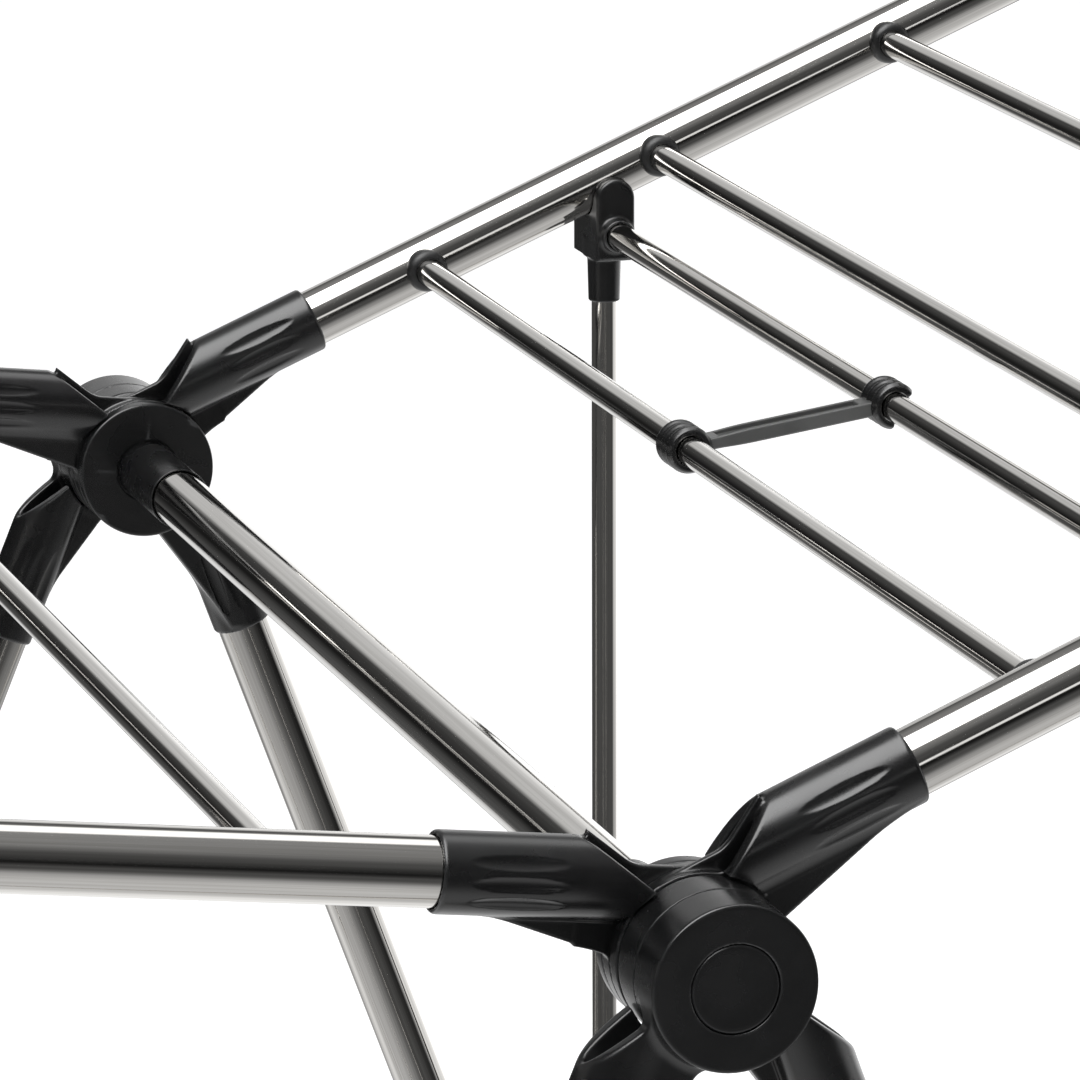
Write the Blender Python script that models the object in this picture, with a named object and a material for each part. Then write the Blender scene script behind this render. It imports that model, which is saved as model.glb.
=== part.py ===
"""Folding gull-wing clothes drying rack: two leg frames and two wings turn about a pair of plastic hubs.

Frame: +Z up, Y along the hub axis, X across the wings, origin on the floor under the middle of the rack.
Every body hangs from an empty that stands on its joint axis. Inside a leg or wing empty, local X runs out
along the tubes from the hub axis, local Z points to the outer (upper) side and local Y is the hub axis.
"""

from math import atan2, cos, hypot, pi, radians, sin

import bmesh
import bpy
from mathutils import Matrix, Vector

# Driving dimensions, metres and degrees.
HUB_HEIGHT = 0.970
HUB_OUT = 0.349  # outer face of each hub, from the middle of the rack
HUB_DEPTH = 0.051
HUB_RADIUS = 0.0238
JOURNAL_RADIUS = 0.0125
COLLAR_RADIUS = 0.0103
COLLAR_LENGTH = 0.045
LEG_ANGLE = 21.3  # from vertical
LEG_PLANE = 0.333
LEG_OFFSET = 0.0176  # leg axis to hub axis
LEG_LENGTH = 1.022
LEG_RADIUS = 0.0095
LOWER_BAR_AT = 0.850
LOWER_BAR_RADIUS = 0.0075
FOOT_RADIUS = 0.0130
WING_PLANE = 0.310
WING_OFFSET = 0.0197
RAIL_RADIUS = 0.010
FIRST_ROD = 0.120
ROD_PITCH = 0.0935
RODS = 5
ROD_RADIUS = 0.00475
CROSSBAR_DROP = 0.0177  # rail axis to crossbar axis
RIGHT_WING_ANGLE = 24.0  # above level, link clipped on the first rod
LINK_REACH = 0.067  # from the rod that holds the link to the crossbar, along the rail
LEFT_LINK_ROD = 2  # the left link is clipped two rods further out, so that wing stands lower
PIVOT_AT = 0.453  # support pivot, along the leg
STRUT_RADIUS = 0.0045
LINK_Y = 0.010
WALL = 0.001
GAP = 0.0003

WING_END = FIRST_ROD + RODS * ROD_PITCH
CENTRE_TUBE_RADIUS = 0.0095
ELBOW_RADIUS = 0.0128
PIN_RADIUS = 0.003
SLEEVE_END = 0.077
TUBE_START = 0.030
ROUND = 16

STEEL = ((0.62, 0.61, 0.59, 1), 0.16, 1.0)
BLACK = ((0.022, 0.022, 0.024, 1), 0.42, 0.0)
GRAPHITE = ((0.06, 0.06, 0.065, 1), 0.4, 0.0)
RUBBER = ((0.018, 0.018, 0.018, 1), 0.75, 0.0)


# ---------------------------------------------------------------- solids

def finish(name, parts, shape="smooth"):
    """One mesh from a bmesh, faces out; round shapes are shaded smooth."""
    bmesh.ops.recalc_face_normals(parts, faces=parts.faces)
    mesh = bpy.data.meshes.new(name)
    parts.to_mesh(mesh)
    parts.free()
    if shape == "smooth":
        mesh.shade_smooth()
        mesh.set_sharp_from_angle(angle=radians(35))
    return mesh


def turned(profile, segments=ROUND, loop=False, turn=None):
    """Revolves (radius, height) points about Z. A loop closes on itself, which makes a ring or a tube."""
    made = bmesh.new()
    rows = []
    for radius, height in profile:
        if radius == 0:
            rows.append([made.verts.new((0, 0, height))] * segments)
        else:
            rows.append([made.verts.new((radius * cos(2 * pi * i / segments),
                                         radius * sin(2 * pi * i / segments), height))
                         for i in range(segments)])
    pairs = list(zip(rows, rows[1:]))
    if loop:
        pairs.append((rows[-1], rows[0]))
    for low, high in pairs:
        for i in range(segments):
            j = (i + 1) % segments
            corners = list(dict.fromkeys((low[i], low[j], high[j], high[i])))
            made.faces.new(corners)
    if turn is not None:
        bmesh.ops.transform(made, matrix=turn, verts=made.verts)
    return made


def along(start, end):
    """The matrix that takes Z from the origin to the line from start to end."""
    start, end = Vector(start), Vector(end)
    return Matrix.Translation(start) @ (end - start).to_track_quat("Z", "Y").to_matrix().to_4x4()


def rod(start, end, radius, segments=ROUND):
    """A solid cylinder."""
    length = (Vector(end) - Vector(start)).length
    return turned([(0, 0), (radius, 0), (radius, length), (0, length)], segments, turn=along(start, end))


def pipe(start, end, radius, bore, segments=ROUND):
    """A cylinder with an open bore."""
    length = (Vector(end) - Vector(start)).length
    return turned([(bore, 0), (radius, 0), (radius, length), (bore, length)], segments, True, along(start, end))


def plate(outline, low, high):
    """A flat plate: an outline of (x, z) points from y = low to y = high."""
    made = bmesh.new()
    face = made.faces.new([made.verts.new((x, low, z)) for x, z in outline])
    grown = bmesh.ops.extrude_face_region(made, geom=[face])["geom"]
    bmesh.ops.translate(made, vec=(0, high - low, 0), verts=[v for v in grown if isinstance(v, bmesh.types.BMVert)])
    return made


def carved(name, first, *steps):
    """Boolean steps ("UNION" or "DIFFERENCE", shape) on a first shape, as one mesh."""
    base = bpy.data.objects.new(name, finish(name, first))
    bpy.context.scene.collection.objects.link(base)
    helpers = []
    for kind, shape in steps:
        cutter = bpy.data.objects.new(name + "_tool", finish(name + "_tool", shape))
        bpy.context.scene.collection.objects.link(cutter)
        step = base.modifiers.new(kind.title(), "BOOLEAN")
        step.operation = kind
        step.solver = "EXACT"
        step.object = cutter
        helpers.append(cutter)
    bpy.context.view_layer.update()
    result = bpy.data.meshes.new_from_object(base.evaluated_get(bpy.context.evaluated_depsgraph_get()))
    for helper in [base] + helpers:
        bpy.data.objects.remove(helper)
    tidy = bmesh.new()
    tidy.from_mesh(result)
    bmesh.ops.remove_doubles(tidy, verts=tidy.verts, dist=2e-6)
    bmesh.ops.dissolve_degenerate(tidy, edges=tidy.edges, dist=2e-6)
    tidy.to_mesh(result)
    tidy.free()
    result.shade_smooth()
    result.set_sharp_from_angle(angle=radians(35))
    return result


# ---------------------------------------------------------------- scene helpers

def clear_scene():
    for item in list(bpy.data.objects):
        bpy.data.objects.remove(item)


def material(name, look):
    colour, roughness, metallic = look
    made = bpy.data.materials.new(name)
    made.use_nodes = True
    shader = made.node_tree.nodes["Principled BSDF"]
    shader.inputs["Base Color"].default_value = colour
    shader.inputs["Roughness"].default_value = roughness
    shader.inputs["Metallic"].default_value = metallic
    return made


def pivot(name, place, turn=(0, 0, 0), parent=None):
    """An empty on a joint axis; place and turn are in the parent's frame."""
    made = bpy.data.objects.new(name, None)
    made.empty_display_size = 0.05
    made.location = place
    made.rotation_euler = turn
    made.parent = parent
    bpy.context.scene.collection.objects.link(made)
    return made


def piece(name, mesh, look, parent):
    """One named object, with a material of its own, in its body's frame."""
    if isinstance(mesh, bmesh.types.BMesh):
        mesh = finish(name, mesh)
    made = bpy.data.objects.new(name, mesh)
    mesh.materials.clear()
    mesh.materials.append(material(name, look))
    made.parent = parent
    bpy.context.scene.collection.objects.link(made)
    return made


# ---------------------------------------------------------------- hub

HUB_IN = HUB_OUT - HUB_DEPTH
# Slots along the hub axis, from the inner face out: flange, left wing, right wing, right leg, left leg.
FLANGE = (HUB_IN, HUB_IN + 0.0055)
LEFT_WING_RING = (HUB_IN + 0.0058, HUB_IN + 0.0122)
RIGHT_WING_RING = (HUB_IN + 0.0125, HUB_IN + 0.0187)
RIGHT_LEG_RING = (HUB_IN + 0.0193, HUB_IN + 0.0342)
LEFT_LEG_RING = (HUB_IN + 0.0345, HUB_OUT)


def hub_core(side):
    """Collar, flange and journal in one moulding; the collar's mouth takes the centre tube."""
    mouth = FLANGE[0] - COLLAR_LENGTH
    socket = CENTRE_TUBE_RADIUS + GAP
    profile = [(0, mouth + 0.012), (socket, mouth + 0.012), (socket, mouth), (COLLAR_RADIUS, mouth),
               (COLLAR_RADIUS, FLANGE[0]), (HUB_RADIUS - 0.0015, FLANGE[0]), (HUB_RADIUS, FLANGE[0] + 0.0015),
               (HUB_RADIUS, FLANGE[1]), (JOURNAL_RADIUS, FLANGE[1]), (JOURNAL_RADIUS, HUB_OUT - 0.0045),
               (0, HUB_OUT - 0.0045)]
    return turned(profile, 24, turn=Matrix.Rotation(radians(-90 * side), 4, "X"))


def hub_plug(side):
    """The round cap that closes the journal's hole in the outer face."""
    start = HUB_OUT - 0.0042
    profile = [(0, start), (JOURNAL_RADIUS, start), (JOURNAL_RADIUS, HUB_OUT - 0.0007),
               (JOURNAL_RADIUS - 0.0004, HUB_OUT - 0.0003), (0, HUB_OUT - 0.0003)]
    return turned(profile, 24, turn=Matrix.Rotation(radians(-90 * side), 4, "X"))


def arm(name, side, ring, web, plane, offset, sleeve, bore):
    """A socket arm: its ring turns on the journal, a web joins the ring to the sleeve that holds a tube.

    side is +1 or -1 along Y; ring and web are (near, far) spans of |y|; the sleeve's axis lies at |y| = plane
    and z = offset. The sleeve's hub end is cut on a slant that falls to the ring.
    """
    def span(low, high):
        return (side * low, side * high) if side > 0 else (side * high, side * low)

    low, high = span(*ring)
    hole = JOURNAL_RADIUS + GAP
    hoop = pipe((0, low, 0), (0, high, 0), HUB_RADIUS, hole, 24)
    top = offset + sleeve
    rim = HUB_RADIUS
    outline = [(hole + 0.003, -rim * 0.62), (rim * 0.92, -rim * 0.33), (0.058, offset - sleeve + 0.0015),
               (0.058, offset + 0.002), (0.030, offset + sleeve * 0.62), (0.016, offset + 0.0012),
               (0.010, rim * 0.86), (hole * 0.5 + 0.004, rim * 0.70)]
    wall = plate(outline, *span(*web))
    y = side * plane
    socket = rod((0.0145, y, offset), (SLEEVE_END, y, offset), sleeve, 20)
    hollow = rod((TUBE_START - 0.001, y, offset), (SLEEVE_END + 0.01, y, offset), bore, ROUND)
    # Everything above the slant from the sleeve's top down to the ring is cut away.
    slant = plate([(0.0335, top + 0.0005), (0.012, offset - 0.0035), (-0.03, offset - 0.0035), (-0.03, top + 0.03),
                   (0.0335, top + 0.03)], *span(plane - sleeve - 0.002, plane + sleeve + 0.002))
    room = HUB_RADIUS + 0.0006
    low, high = span(ring[0] - 0.04, ring[0])
    inner_room = rod((0, low, 0), (0, high, 0), room, 24)
    low, high = span(ring[1], ring[1] + 0.04)
    outer_room = rod((0, low, 0), (0, high, 0), room, 24)
    low, high = span(ring[0] - 0.001, ring[1] + 0.001)
    journal = rod((0, low, 0), (0, high, 0), hole, 24)
    return carved(name, socket, ("DIFFERENCE", slant), ("DIFFERENCE", inner_room), ("DIFFERENCE", outer_room),
                  ("UNION", hoop), ("UNION", wall), ("DIFFERENCE", journal), ("DIFFERENCE", hollow))


# ---------------------------------------------------------------- legs

def foot(name, side, floor):
    """A cap on the leg's end, cut level with the floor; floor is the hub axis height in the leg's frame."""
    lean = radians(LEG_ANGLE)
    y = side * LEG_PLANE
    cap = rod((LEG_LENGTH - 0.030, y, LEG_OFFSET), (LEG_LENGTH + 0.05, y, LEG_OFFSET), FOOT_RADIUS, 16)
    hollow = rod((LEG_LENGTH - 0.05, y, LEG_OFFSET), (LEG_LENGTH + GAP, y, LEG_OFFSET), LEG_RADIUS + GAP, ROUND)
    down = Vector((cos(lean), 0, -sin(lean)))
    across = Vector((sin(lean), 0, cos(lean)))
    sole = down * floor
    corners = [sole - across * 0.2, sole - across * -0.8, sole + across * 0.8 + down * 0.2, sole - across * 0.2 + down * 0.2]
    below = plate([(c.x, c.z) for c in corners], y - 0.05, y + 0.05)
    return carved(name, cap, ("DIFFERENCE", below), ("DIFFERENCE", hollow))


def leg_frame(side_name, body, ring):
    """Two arms, legs and feet, the lower bar, and the two pins that carry the support."""
    for near_far, side in (("near", -1), ("far", 1)):
        tag = f"{side_name}_{near_far}"
        y = side * LEG_PLANE
        web = (max(ring[0], 0.3235), min(ring[1], 0.3425))
        piece(f"leg_arm_{tag}", arm("leg_arm", side, ring, web, LEG_PLANE, LEG_OFFSET, 0.0107, LEG_RADIUS + GAP),
              BLACK, body)
        piece(f"leg_{tag}", pipe((TUBE_START, y, LEG_OFFSET), (LEG_LENGTH, y, LEG_OFFSET), LEG_RADIUS,
                                 LEG_RADIUS - WALL), STEEL, body)
        piece(f"foot_{tag}", foot("foot", side, HUB_HEIGHT), RUBBER, body)
        inner = WING_PLANE - 0.0066
        face = LEG_PLANE - LEG_RADIUS - GAP
        profile = [(0, inner), (0.0058, inner), (0.0062, inner + 0.0006), (0.0062, inner + 0.0027),
                   (PIN_RADIUS, inner + 0.0027), (PIN_RADIUS, WING_PLANE + 0.0039), (0.0062, WING_PLANE + 0.0039),
                   (0.0062, face), (0, face)]
        turn = Matrix.Translation((PIVOT_AT, 0, LEG_OFFSET)) @ Matrix.Rotation(radians(-90 * side), 4, "X")
        piece(f"support_pin_{tag}", turned(profile, 12, turn=turn), STEEL, body)
    end = LEG_PLANE - LEG_RADIUS - GAP
    piece(f"lower_bar_{side_name}", pipe((LOWER_BAR_AT, -end, LEG_OFFSET), (LOWER_BAR_AT, end, LEG_OFFSET),
                                         LOWER_BAR_RADIUS, LOWER_BAR_RADIUS - WALL), STEEL, body)


# ---------------------------------------------------------------- wings

def elbow(name, side):
    """A corner moulding: a socket for the rail, a socket for the end bar and a ball that joins them."""
    y, z = side * WING_PLANE, WING_OFFSET
    corner = (WING_END, y, z)
    ball = [(0, -ELBOW_RADIUS)]
    ball += [(ELBOW_RADIUS * cos(radians(a)), ELBOW_RADIUS * sin(radians(a))) for a in range(-60, 61, 30)]
    ball += [(0, ELBOW_RADIUS)]
    knob = turned(ball, 18, turn=Matrix.Translation(corner))
    to_rail = rod((WING_END - 0.036, y, z), (WING_END - 0.002, y, z), ELBOW_RADIUS - 0.0012, 16)
    to_bar = rod((WING_END, y - side * 0.036, z), (WING_END, y - side * 0.002, z), ELBOW_RADIUS - 0.0012, 16)
    rail_bore = rod((WING_END - 0.05, y, z), (WING_END - 0.0145, y, z), RAIL_RADIUS + GAP, ROUND)
    bar_bore = rod((WING_END, y - side * 0.05, z), (WING_END, y - side * 0.0145, z), RAIL_RADIUS + GAP, ROUND)
    return carved(name, knob, ("UNION", to_rail), ("UNION", to_bar), ("DIFFERENCE", rail_bore),
                  ("DIFFERENCE", bar_bore))


def wing(side_name, body, ring):
    """Two arms and rails, the rods between them and the end bar with its two elbows."""
    z = WING_OFFSET
    for near_far, side in (("near", -1), ("far", 1)):
        tag = f"{side_name}_{near_far}"
        y = side * WING_PLANE
        piece(f"wing_arm_{tag}", arm("wing_arm", side, ring, ring, WING_PLANE, z, 0.0116, RAIL_RADIUS + GAP),
              BLACK, body)
        piece(f"wing_rail_{tag}", pipe((TUBE_START, y, z), (WING_END - 0.0148, y, z), RAIL_RADIUS,
                                       RAIL_RADIUS - WALL), STEEL, body)
        piece(f"elbow_{tag}", elbow("elbow", side), BLACK, body)
    reach = WING_PLANE - RAIL_RADIUS - GAP
    for number in range(RODS):
        x = FIRST_ROD + number * ROD_PITCH
        piece(f"rod_{side_name}_{number + 1}", pipe((x, -reach, z), (x, reach, z), ROD_RADIUS, ROD_RADIUS - WALL, 16),
              STEEL, body)
    reach = WING_PLANE - 0.0148
    piece(f"end_bar_{side_name}", pipe((WING_END, -reach, z), (WING_END, reach, z), RAIL_RADIUS,
                                       RAIL_RADIUS - WALL), STEEL, body)


# ---------------------------------------------------------------- supports and links

def fork(name, side, rail_tilt):
    """The connector on top of a strut: two prongs stand beside the rail, which lies in the saddle between them.

    The frame is the support's: local Z runs up the strut from the crossbar axis. rail_tilt is the angle from
    local X up to the rail, and the rail's axis passes CROSSBAR_DROP from the crossbar's.
    """
    y = side * WING_PLANE
    half = 0.0065
    top = CROSSBAR_DROP / cos(rail_tilt) + 0.0006
    crown = [(half * sin(radians(a)), top - half + half * cos(radians(a))) for a in range(-90, 91, 30)]
    body = plate([(half, -0.0085)] + [(-half, -0.0085)] + crown, y - 0.0145, y + 0.0145)
    neck = turned([(0, -0.022), (0.0054, -0.022), (0.0060, -0.007), (0, -0.007)], ROUND,
                  turn=Matrix.Translation((0, y, 0)))
    boss = rod((0, y - side * 0.0195, 0), (0, y - side * 0.010, 0), 0.0078, 16)
    reach = Vector((cos(rail_tilt), 0, sin(rail_tilt))) * 0.05
    middle = Vector((-sin(rail_tilt), 0, cos(rail_tilt))) * CROSSBAR_DROP + Vector((0, y, 0))
    saddle = rod(middle - reach, middle + reach, RAIL_RADIUS + 0.0004, 20)
    across = Vector((-sin(rail_tilt), 0, cos(rail_tilt))) * 0.05
    mouth = plate([(p.x, p.z) for p in (middle - reach, middle + reach, middle + reach + across,
                                        middle - reach + across)], y - 0.0104, y + 0.0104)
    bar_bore = rod((0, y - side * 0.03, 0), (0, y - side * 0.006, 0), ROD_RADIUS + GAP, ROUND)
    strut_bore = rod((0, y, -0.04), (0, y, -0.0095), STRUT_RADIUS + GAP, ROUND)
    return carved(name, body, ("UNION", neck), ("UNION", boss), ("DIFFERENCE", saddle), ("DIFFERENCE", mouth),
                  ("DIFFERENCE", bar_bore), ("DIFFERENCE", strut_bore))


def strut(name, side, length):
    """A tube with a flat eye for its pin; the origin is on the pin's axis."""
    y = side * WING_PLANE
    tube = pipe((0, y, 0.0078), (0, y, length - 0.010), STRUT_RADIUS, STRUT_RADIUS - WALL, 16)
    plug = rod((0, y, 0.0066), (0, y, 0.014), STRUT_RADIUS - 0.0002, 16)
    eye = rod((0, y - 0.0036, 0), (0, y + 0.0036, 0), 0.0072, 16)
    hole = rod((0, y - 0.01, 0), (0, y + 0.01, 0), PIN_RADIUS + GAP, ROUND)
    return carved(name, tube, ("UNION", plug), ("UNION", eye), ("DIFFERENCE", hole))


def support(side_name, body, length, rail_tilt):
    """Two struts with their forks, and the crossbar that joins them."""
    for near_far, side in (("near", -1), ("far", 1)):
        tag = f"{side_name}_{near_far}"
        piece(f"strut_{tag}", strut("strut", side, length), STEEL, body)
        made = piece(f"fork_{tag}", fork("fork", side, rail_tilt), BLACK, body)
        made.location = (0, 0, length)
    end = WING_PLANE - 0.0065
    piece(f"crossbar_{side_name}", pipe((0, -end, length), (0, end, length), ROD_RADIUS, ROD_RADIUS - WALL, 16),
          STEEL, body)


def link(name):
    """A flat bar with a ring that turns on its rod and an open clip that snaps onto the crossbar.

    The frame stands on the rod; the bar falls from the rod (local origin) to the crossbar axis.
    """
    drop = CROSSBAR_DROP
    length = hypot(LINK_REACH, drop)
    fall = atan2(drop, LINK_REACH)
    hole, skin, half = ROD_RADIUS + GAP, 0.0080, 0.0075
    turn = Matrix.Rotation(fall, 4, "Y")

    def placed(made):
        bmesh.ops.transform(made, matrix=turn, verts=made.verts)
        return made

    bar = placed(plate([(0.0065, -0.0019), (length - 0.0065, -0.0019), (length - 0.0065, 0.0019),
                        (0.0065, 0.0019)], LINK_Y - 0.0045, LINK_Y + 0.0045))
    ring = rod((0, LINK_Y - half, 0), (0, LINK_Y + half, 0), skin, 16)
    clip = placed(rod((length, LINK_Y - half, 0), (length, LINK_Y + half, 0), skin, 16))
    ring_hole = rod((0, LINK_Y - 0.02, 0), (0, LINK_Y + 0.02, 0), hole, 16)
    clip_hole = placed(rod((length, LINK_Y - 0.02, 0), (length, LINK_Y + 0.02, 0), hole, 16))
    # The clip opens away from the bar and down, the way the crossbar leaves it.
    opening, half_mouth, far = radians(-38), radians(75), 0.03
    mouth = placed(plate([(length, 0)] + [(length + far * cos(opening + k * half_mouth),
                                           far * sin(opening + k * half_mouth)) for k in (-1, -0.4, 0.4, 1)],
                         LINK_Y - 0.02, LINK_Y + 0.02))
    return carved(name, bar, ("UNION", ring), ("UNION", clip), ("DIFFERENCE", ring_hole),
                  ("DIFFERENCE", clip_hole), ("DIFFERENCE", mouth))


# ---------------------------------------------------------------- layout

def in_plane(angle, along_it, off_it):
    """The (x, z) point at a distance along a direction above level and a distance to its upper side."""
    return (along_it * cos(angle) - off_it * sin(angle), along_it * sin(angle) + off_it * cos(angle))


def pivot_point():
    """The support pin, seen from the hub axis, on the right side."""
    return in_plane(radians(LEG_ANGLE - 90), PIVOT_AT, LEG_OFFSET)


def crossbar_point(angle, station):
    return in_plane(angle, station, WING_OFFSET - CROSSBAR_DROP)


def support_length():
    """Pin to crossbar, set by the higher wing."""
    px, pz = pivot_point()
    cx, cz = crossbar_point(radians(RIGHT_WING_ANGLE), FIRST_ROD + LINK_REACH)
    return hypot(cx - px, cz - pz)


def wing_angle(rod_number):
    """The wing's angle when the same support is linked to another rod, by halving an interval."""
    station = FIRST_ROD + rod_number * ROD_PITCH + LINK_REACH
    px, pz = pivot_point()
    low, high = radians(-20), radians(60)
    for _ in range(60):
        middle = (low + high) / 2
        cx, cz = crossbar_point(middle, station)
        if hypot(cx - px, cz - pz) > support_length():
            high = middle
        else:
            low = middle
    return (low + high) / 2


def half(side_name, facing, hub, legs_ring, wing_ring, link_rod):
    """The leg frame, wing, support and link of one side. facing is 0 for the right and pi for the left."""
    lean = radians(90 - LEG_ANGLE)
    up = wing_angle(link_rod)
    legs = pivot(f"{side_name}_legs_pivot", (0, 0, 0), (0, lean, facing), hub)
    leg_frame(side_name, legs, legs_ring)
    wings = pivot(f"{side_name}_wing_pivot", (0, 0, 0), (0, -up, facing), hub)
    wing(side_name, wings, wing_ring)
    px, pz = pivot_point()
    cx, cz = crossbar_point(up, FIRST_ROD + link_rod * ROD_PITCH + LINK_REACH)
    tilt = atan2(cx - px, cz - pz)
    mirror = cos(facing)
    stand = pivot(f"{side_name}_support_pivot", (mirror * px, 0, pz), (0, tilt, facing), hub)
    support(side_name, stand, support_length(), up + tilt)
    rx, rz = in_plane(up, FIRST_ROD + link_rod * ROD_PITCH, WING_OFFSET)
    clip = pivot(f"{side_name}_link_pivot", (mirror * rx, 0, rz), (0, -up, facing), hub)
    piece(f"link_{side_name}", link("link"), GRAPHITE, clip)


def wing_reach(rod_number):
    """How far a wing's elbow reaches from the hub axis, level."""
    return in_plane(wing_angle(rod_number), WING_END, WING_OFFSET)[0] + ELBOW_RADIUS


def main():
    clear_scene()
    shift = (wing_reach(LEFT_LINK_ROD) - wing_reach(0)) / 2
    hub = pivot("hub_axis", (shift, 0, HUB_HEIGHT))
    for near_far, side in (("near", -1), ("far", 1)):
        piece(f"hub_core_{near_far}", hub_core(side), BLACK, hub)
        piece(f"hub_plug_{near_far}", hub_plug(side), BLACK, hub)
    end = FLANGE[0] - COLLAR_LENGTH + 0.012 - GAP
    piece("centre_tube", pipe((0, -end, 0), (0, end, 0), CENTRE_TUBE_RADIUS, CENTRE_TUBE_RADIUS - WALL, 24),
          STEEL, hub)
    half("right", 0, hub, RIGHT_LEG_RING, RIGHT_WING_RING, 0)
    half("left", pi, hub, LEFT_LEG_RING, LEFT_WING_RING, LEFT_LINK_ROD)


main()
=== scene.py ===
"""Looks of a folding gull-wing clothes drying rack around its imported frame.

Polished stainless tubes and rods run between black moulded hubs, sleeves, forks, corner pieces and feet.
Every tube is turned about its own axis. Every moulding is the skin of a smooth distance field, so its
corners, fillets, dimples and hollows are real shape. The frame's own boxes give the places. Sizes of the rack's
pieces are in millimetres.
"""

import logging
import math
from dataclasses import dataclass
from enum import Enum
from typing import Callable, Iterable, Sequence

import bpy
import numpy as np
from mathutils import Euler, Matrix, Vector


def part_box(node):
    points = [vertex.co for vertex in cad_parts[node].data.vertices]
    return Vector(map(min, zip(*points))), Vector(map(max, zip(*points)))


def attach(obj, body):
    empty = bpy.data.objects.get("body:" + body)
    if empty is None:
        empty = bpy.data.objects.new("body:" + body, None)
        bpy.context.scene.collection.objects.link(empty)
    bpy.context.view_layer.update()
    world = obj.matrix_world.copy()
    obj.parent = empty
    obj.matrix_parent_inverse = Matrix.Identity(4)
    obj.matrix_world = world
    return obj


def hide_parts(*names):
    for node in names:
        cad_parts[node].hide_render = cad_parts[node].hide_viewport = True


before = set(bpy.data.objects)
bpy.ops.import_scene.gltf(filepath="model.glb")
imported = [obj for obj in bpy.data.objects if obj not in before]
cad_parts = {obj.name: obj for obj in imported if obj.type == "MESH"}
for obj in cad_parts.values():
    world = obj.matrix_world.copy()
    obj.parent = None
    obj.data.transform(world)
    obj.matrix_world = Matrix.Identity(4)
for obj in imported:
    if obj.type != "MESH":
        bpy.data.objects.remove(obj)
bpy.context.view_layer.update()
log = logging.getLogger("drying_rack")

Field = Callable[[np.ndarray], np.ndarray]
Colour = tuple[float, float, float]
Span = tuple[float, float]
Profile = Sequence[tuple[float, float]]
Socket = bpy.types.NodeSocket
MM = 0.001


# ---------------------------------------------------------------- named options

class Side(Enum):
    """The two halves of the rack, with the sign of their X direction."""

    RIGHT = 1
    LEFT = -1

    @property
    def word(self) -> str:
        """The word that the frame's names use."""
        return self.name.lower()


class End(Enum):
    """The two ends of the hub axis, with the sign of their Y direction."""

    NEAR = -1
    FAR = 1

    @property
    def word(self) -> str:
        """The word that the frame's names use."""
        return self.name.lower()


# ---------------------------------------------------------------- shader groups

class Graph:
    """A node tree with short calls to add and join its nodes."""

    def __init__(self, tree: bpy.types.NodeTree) -> None:
        """Wraps a tree.

        Args:
            tree: the material's, group's or world's node tree.
        """
        self.tree = tree

    def add(self, kind: str, inputs: dict | None = None, **settings: object) -> bpy.types.Node:
        """Adds one node.

        Args:
            kind: the node's type name without its ShaderNode prefix, or a full type name.
            inputs: socket name or number to a value, or to another node's output socket.
            settings: attributes of the node.

        Returns:
            The new node.
        """
        full = kind if kind.startswith(("ShaderNode", "NodeGroup")) else "ShaderNode" + kind
        node = self.tree.nodes.new(full)
        for key, value in settings.items():
            setattr(node, key, value)
        for key, value in (inputs or {}).items():
            if isinstance(value, Socket):
                self.tree.links.new(value, node.inputs[key])
            else:
                node.inputs[key].default_value = value
        return node

    def join(self, source: Socket, target: Socket) -> None:
        """Links an output to an input."""
        self.tree.links.new(source, target)

    def product(self, *factors: object) -> Socket:
        """Multiplies sockets and numbers together."""
        made = factors[0]
        for factor in factors[1:]:
            made = self.maths("MULTIPLY", made, factor)
        return made

    def total(self, *terms: object) -> Socket:
        """Adds sockets and numbers together."""
        made = terms[0]
        for term in terms[1:]:
            made = self.maths("ADD", made, term)
        return made

    def maths(self, operation: str, first: object, second: object = 0.0, clamp: bool = False) -> Socket:
        """Adds a Math node and gives its result socket."""
        node = self.add("Math", {0: first, 1: second}, operation=operation, use_clamp=clamp)
        return node.outputs[0]

    def ramp(self, value: object, low: float, high: float, to_low: float = 0.0, to_high: float = 1.0,
             smooth: bool = True) -> Socket:
        """Adds a Map Range node.

        Args:
            value: the socket or number to map.
            low: the value that becomes to_low.
            high: the value that becomes to_high.
            to_low: the result at low.
            to_high: the result at high.
            smooth: ease in and out instead of a straight ramp.

        Returns:
            The result socket.
        """
        kind = "SMOOTHSTEP" if smooth else "LINEAR"
        node = self.add("MapRange", {"Value": value, "From Min": low, "From Max": high, "To Min": to_low,
                                     "To Max": to_high}, interpolation_type=kind, clamp=True)
        return node.outputs["Result"]

    def blend(self, factor: object, first: object, second: object) -> Socket:
        """Adds a colour Mix node and gives its result socket."""
        node = self.add("Mix", data_type="RGBA")
        for socket, value in zip((node.inputs[0], node.inputs[6], node.inputs[7]), (factor, first, second)):
            if isinstance(value, Socket):
                self.join(value, socket)
            else:
                socket.default_value = value
        return node.outputs[2]


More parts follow.
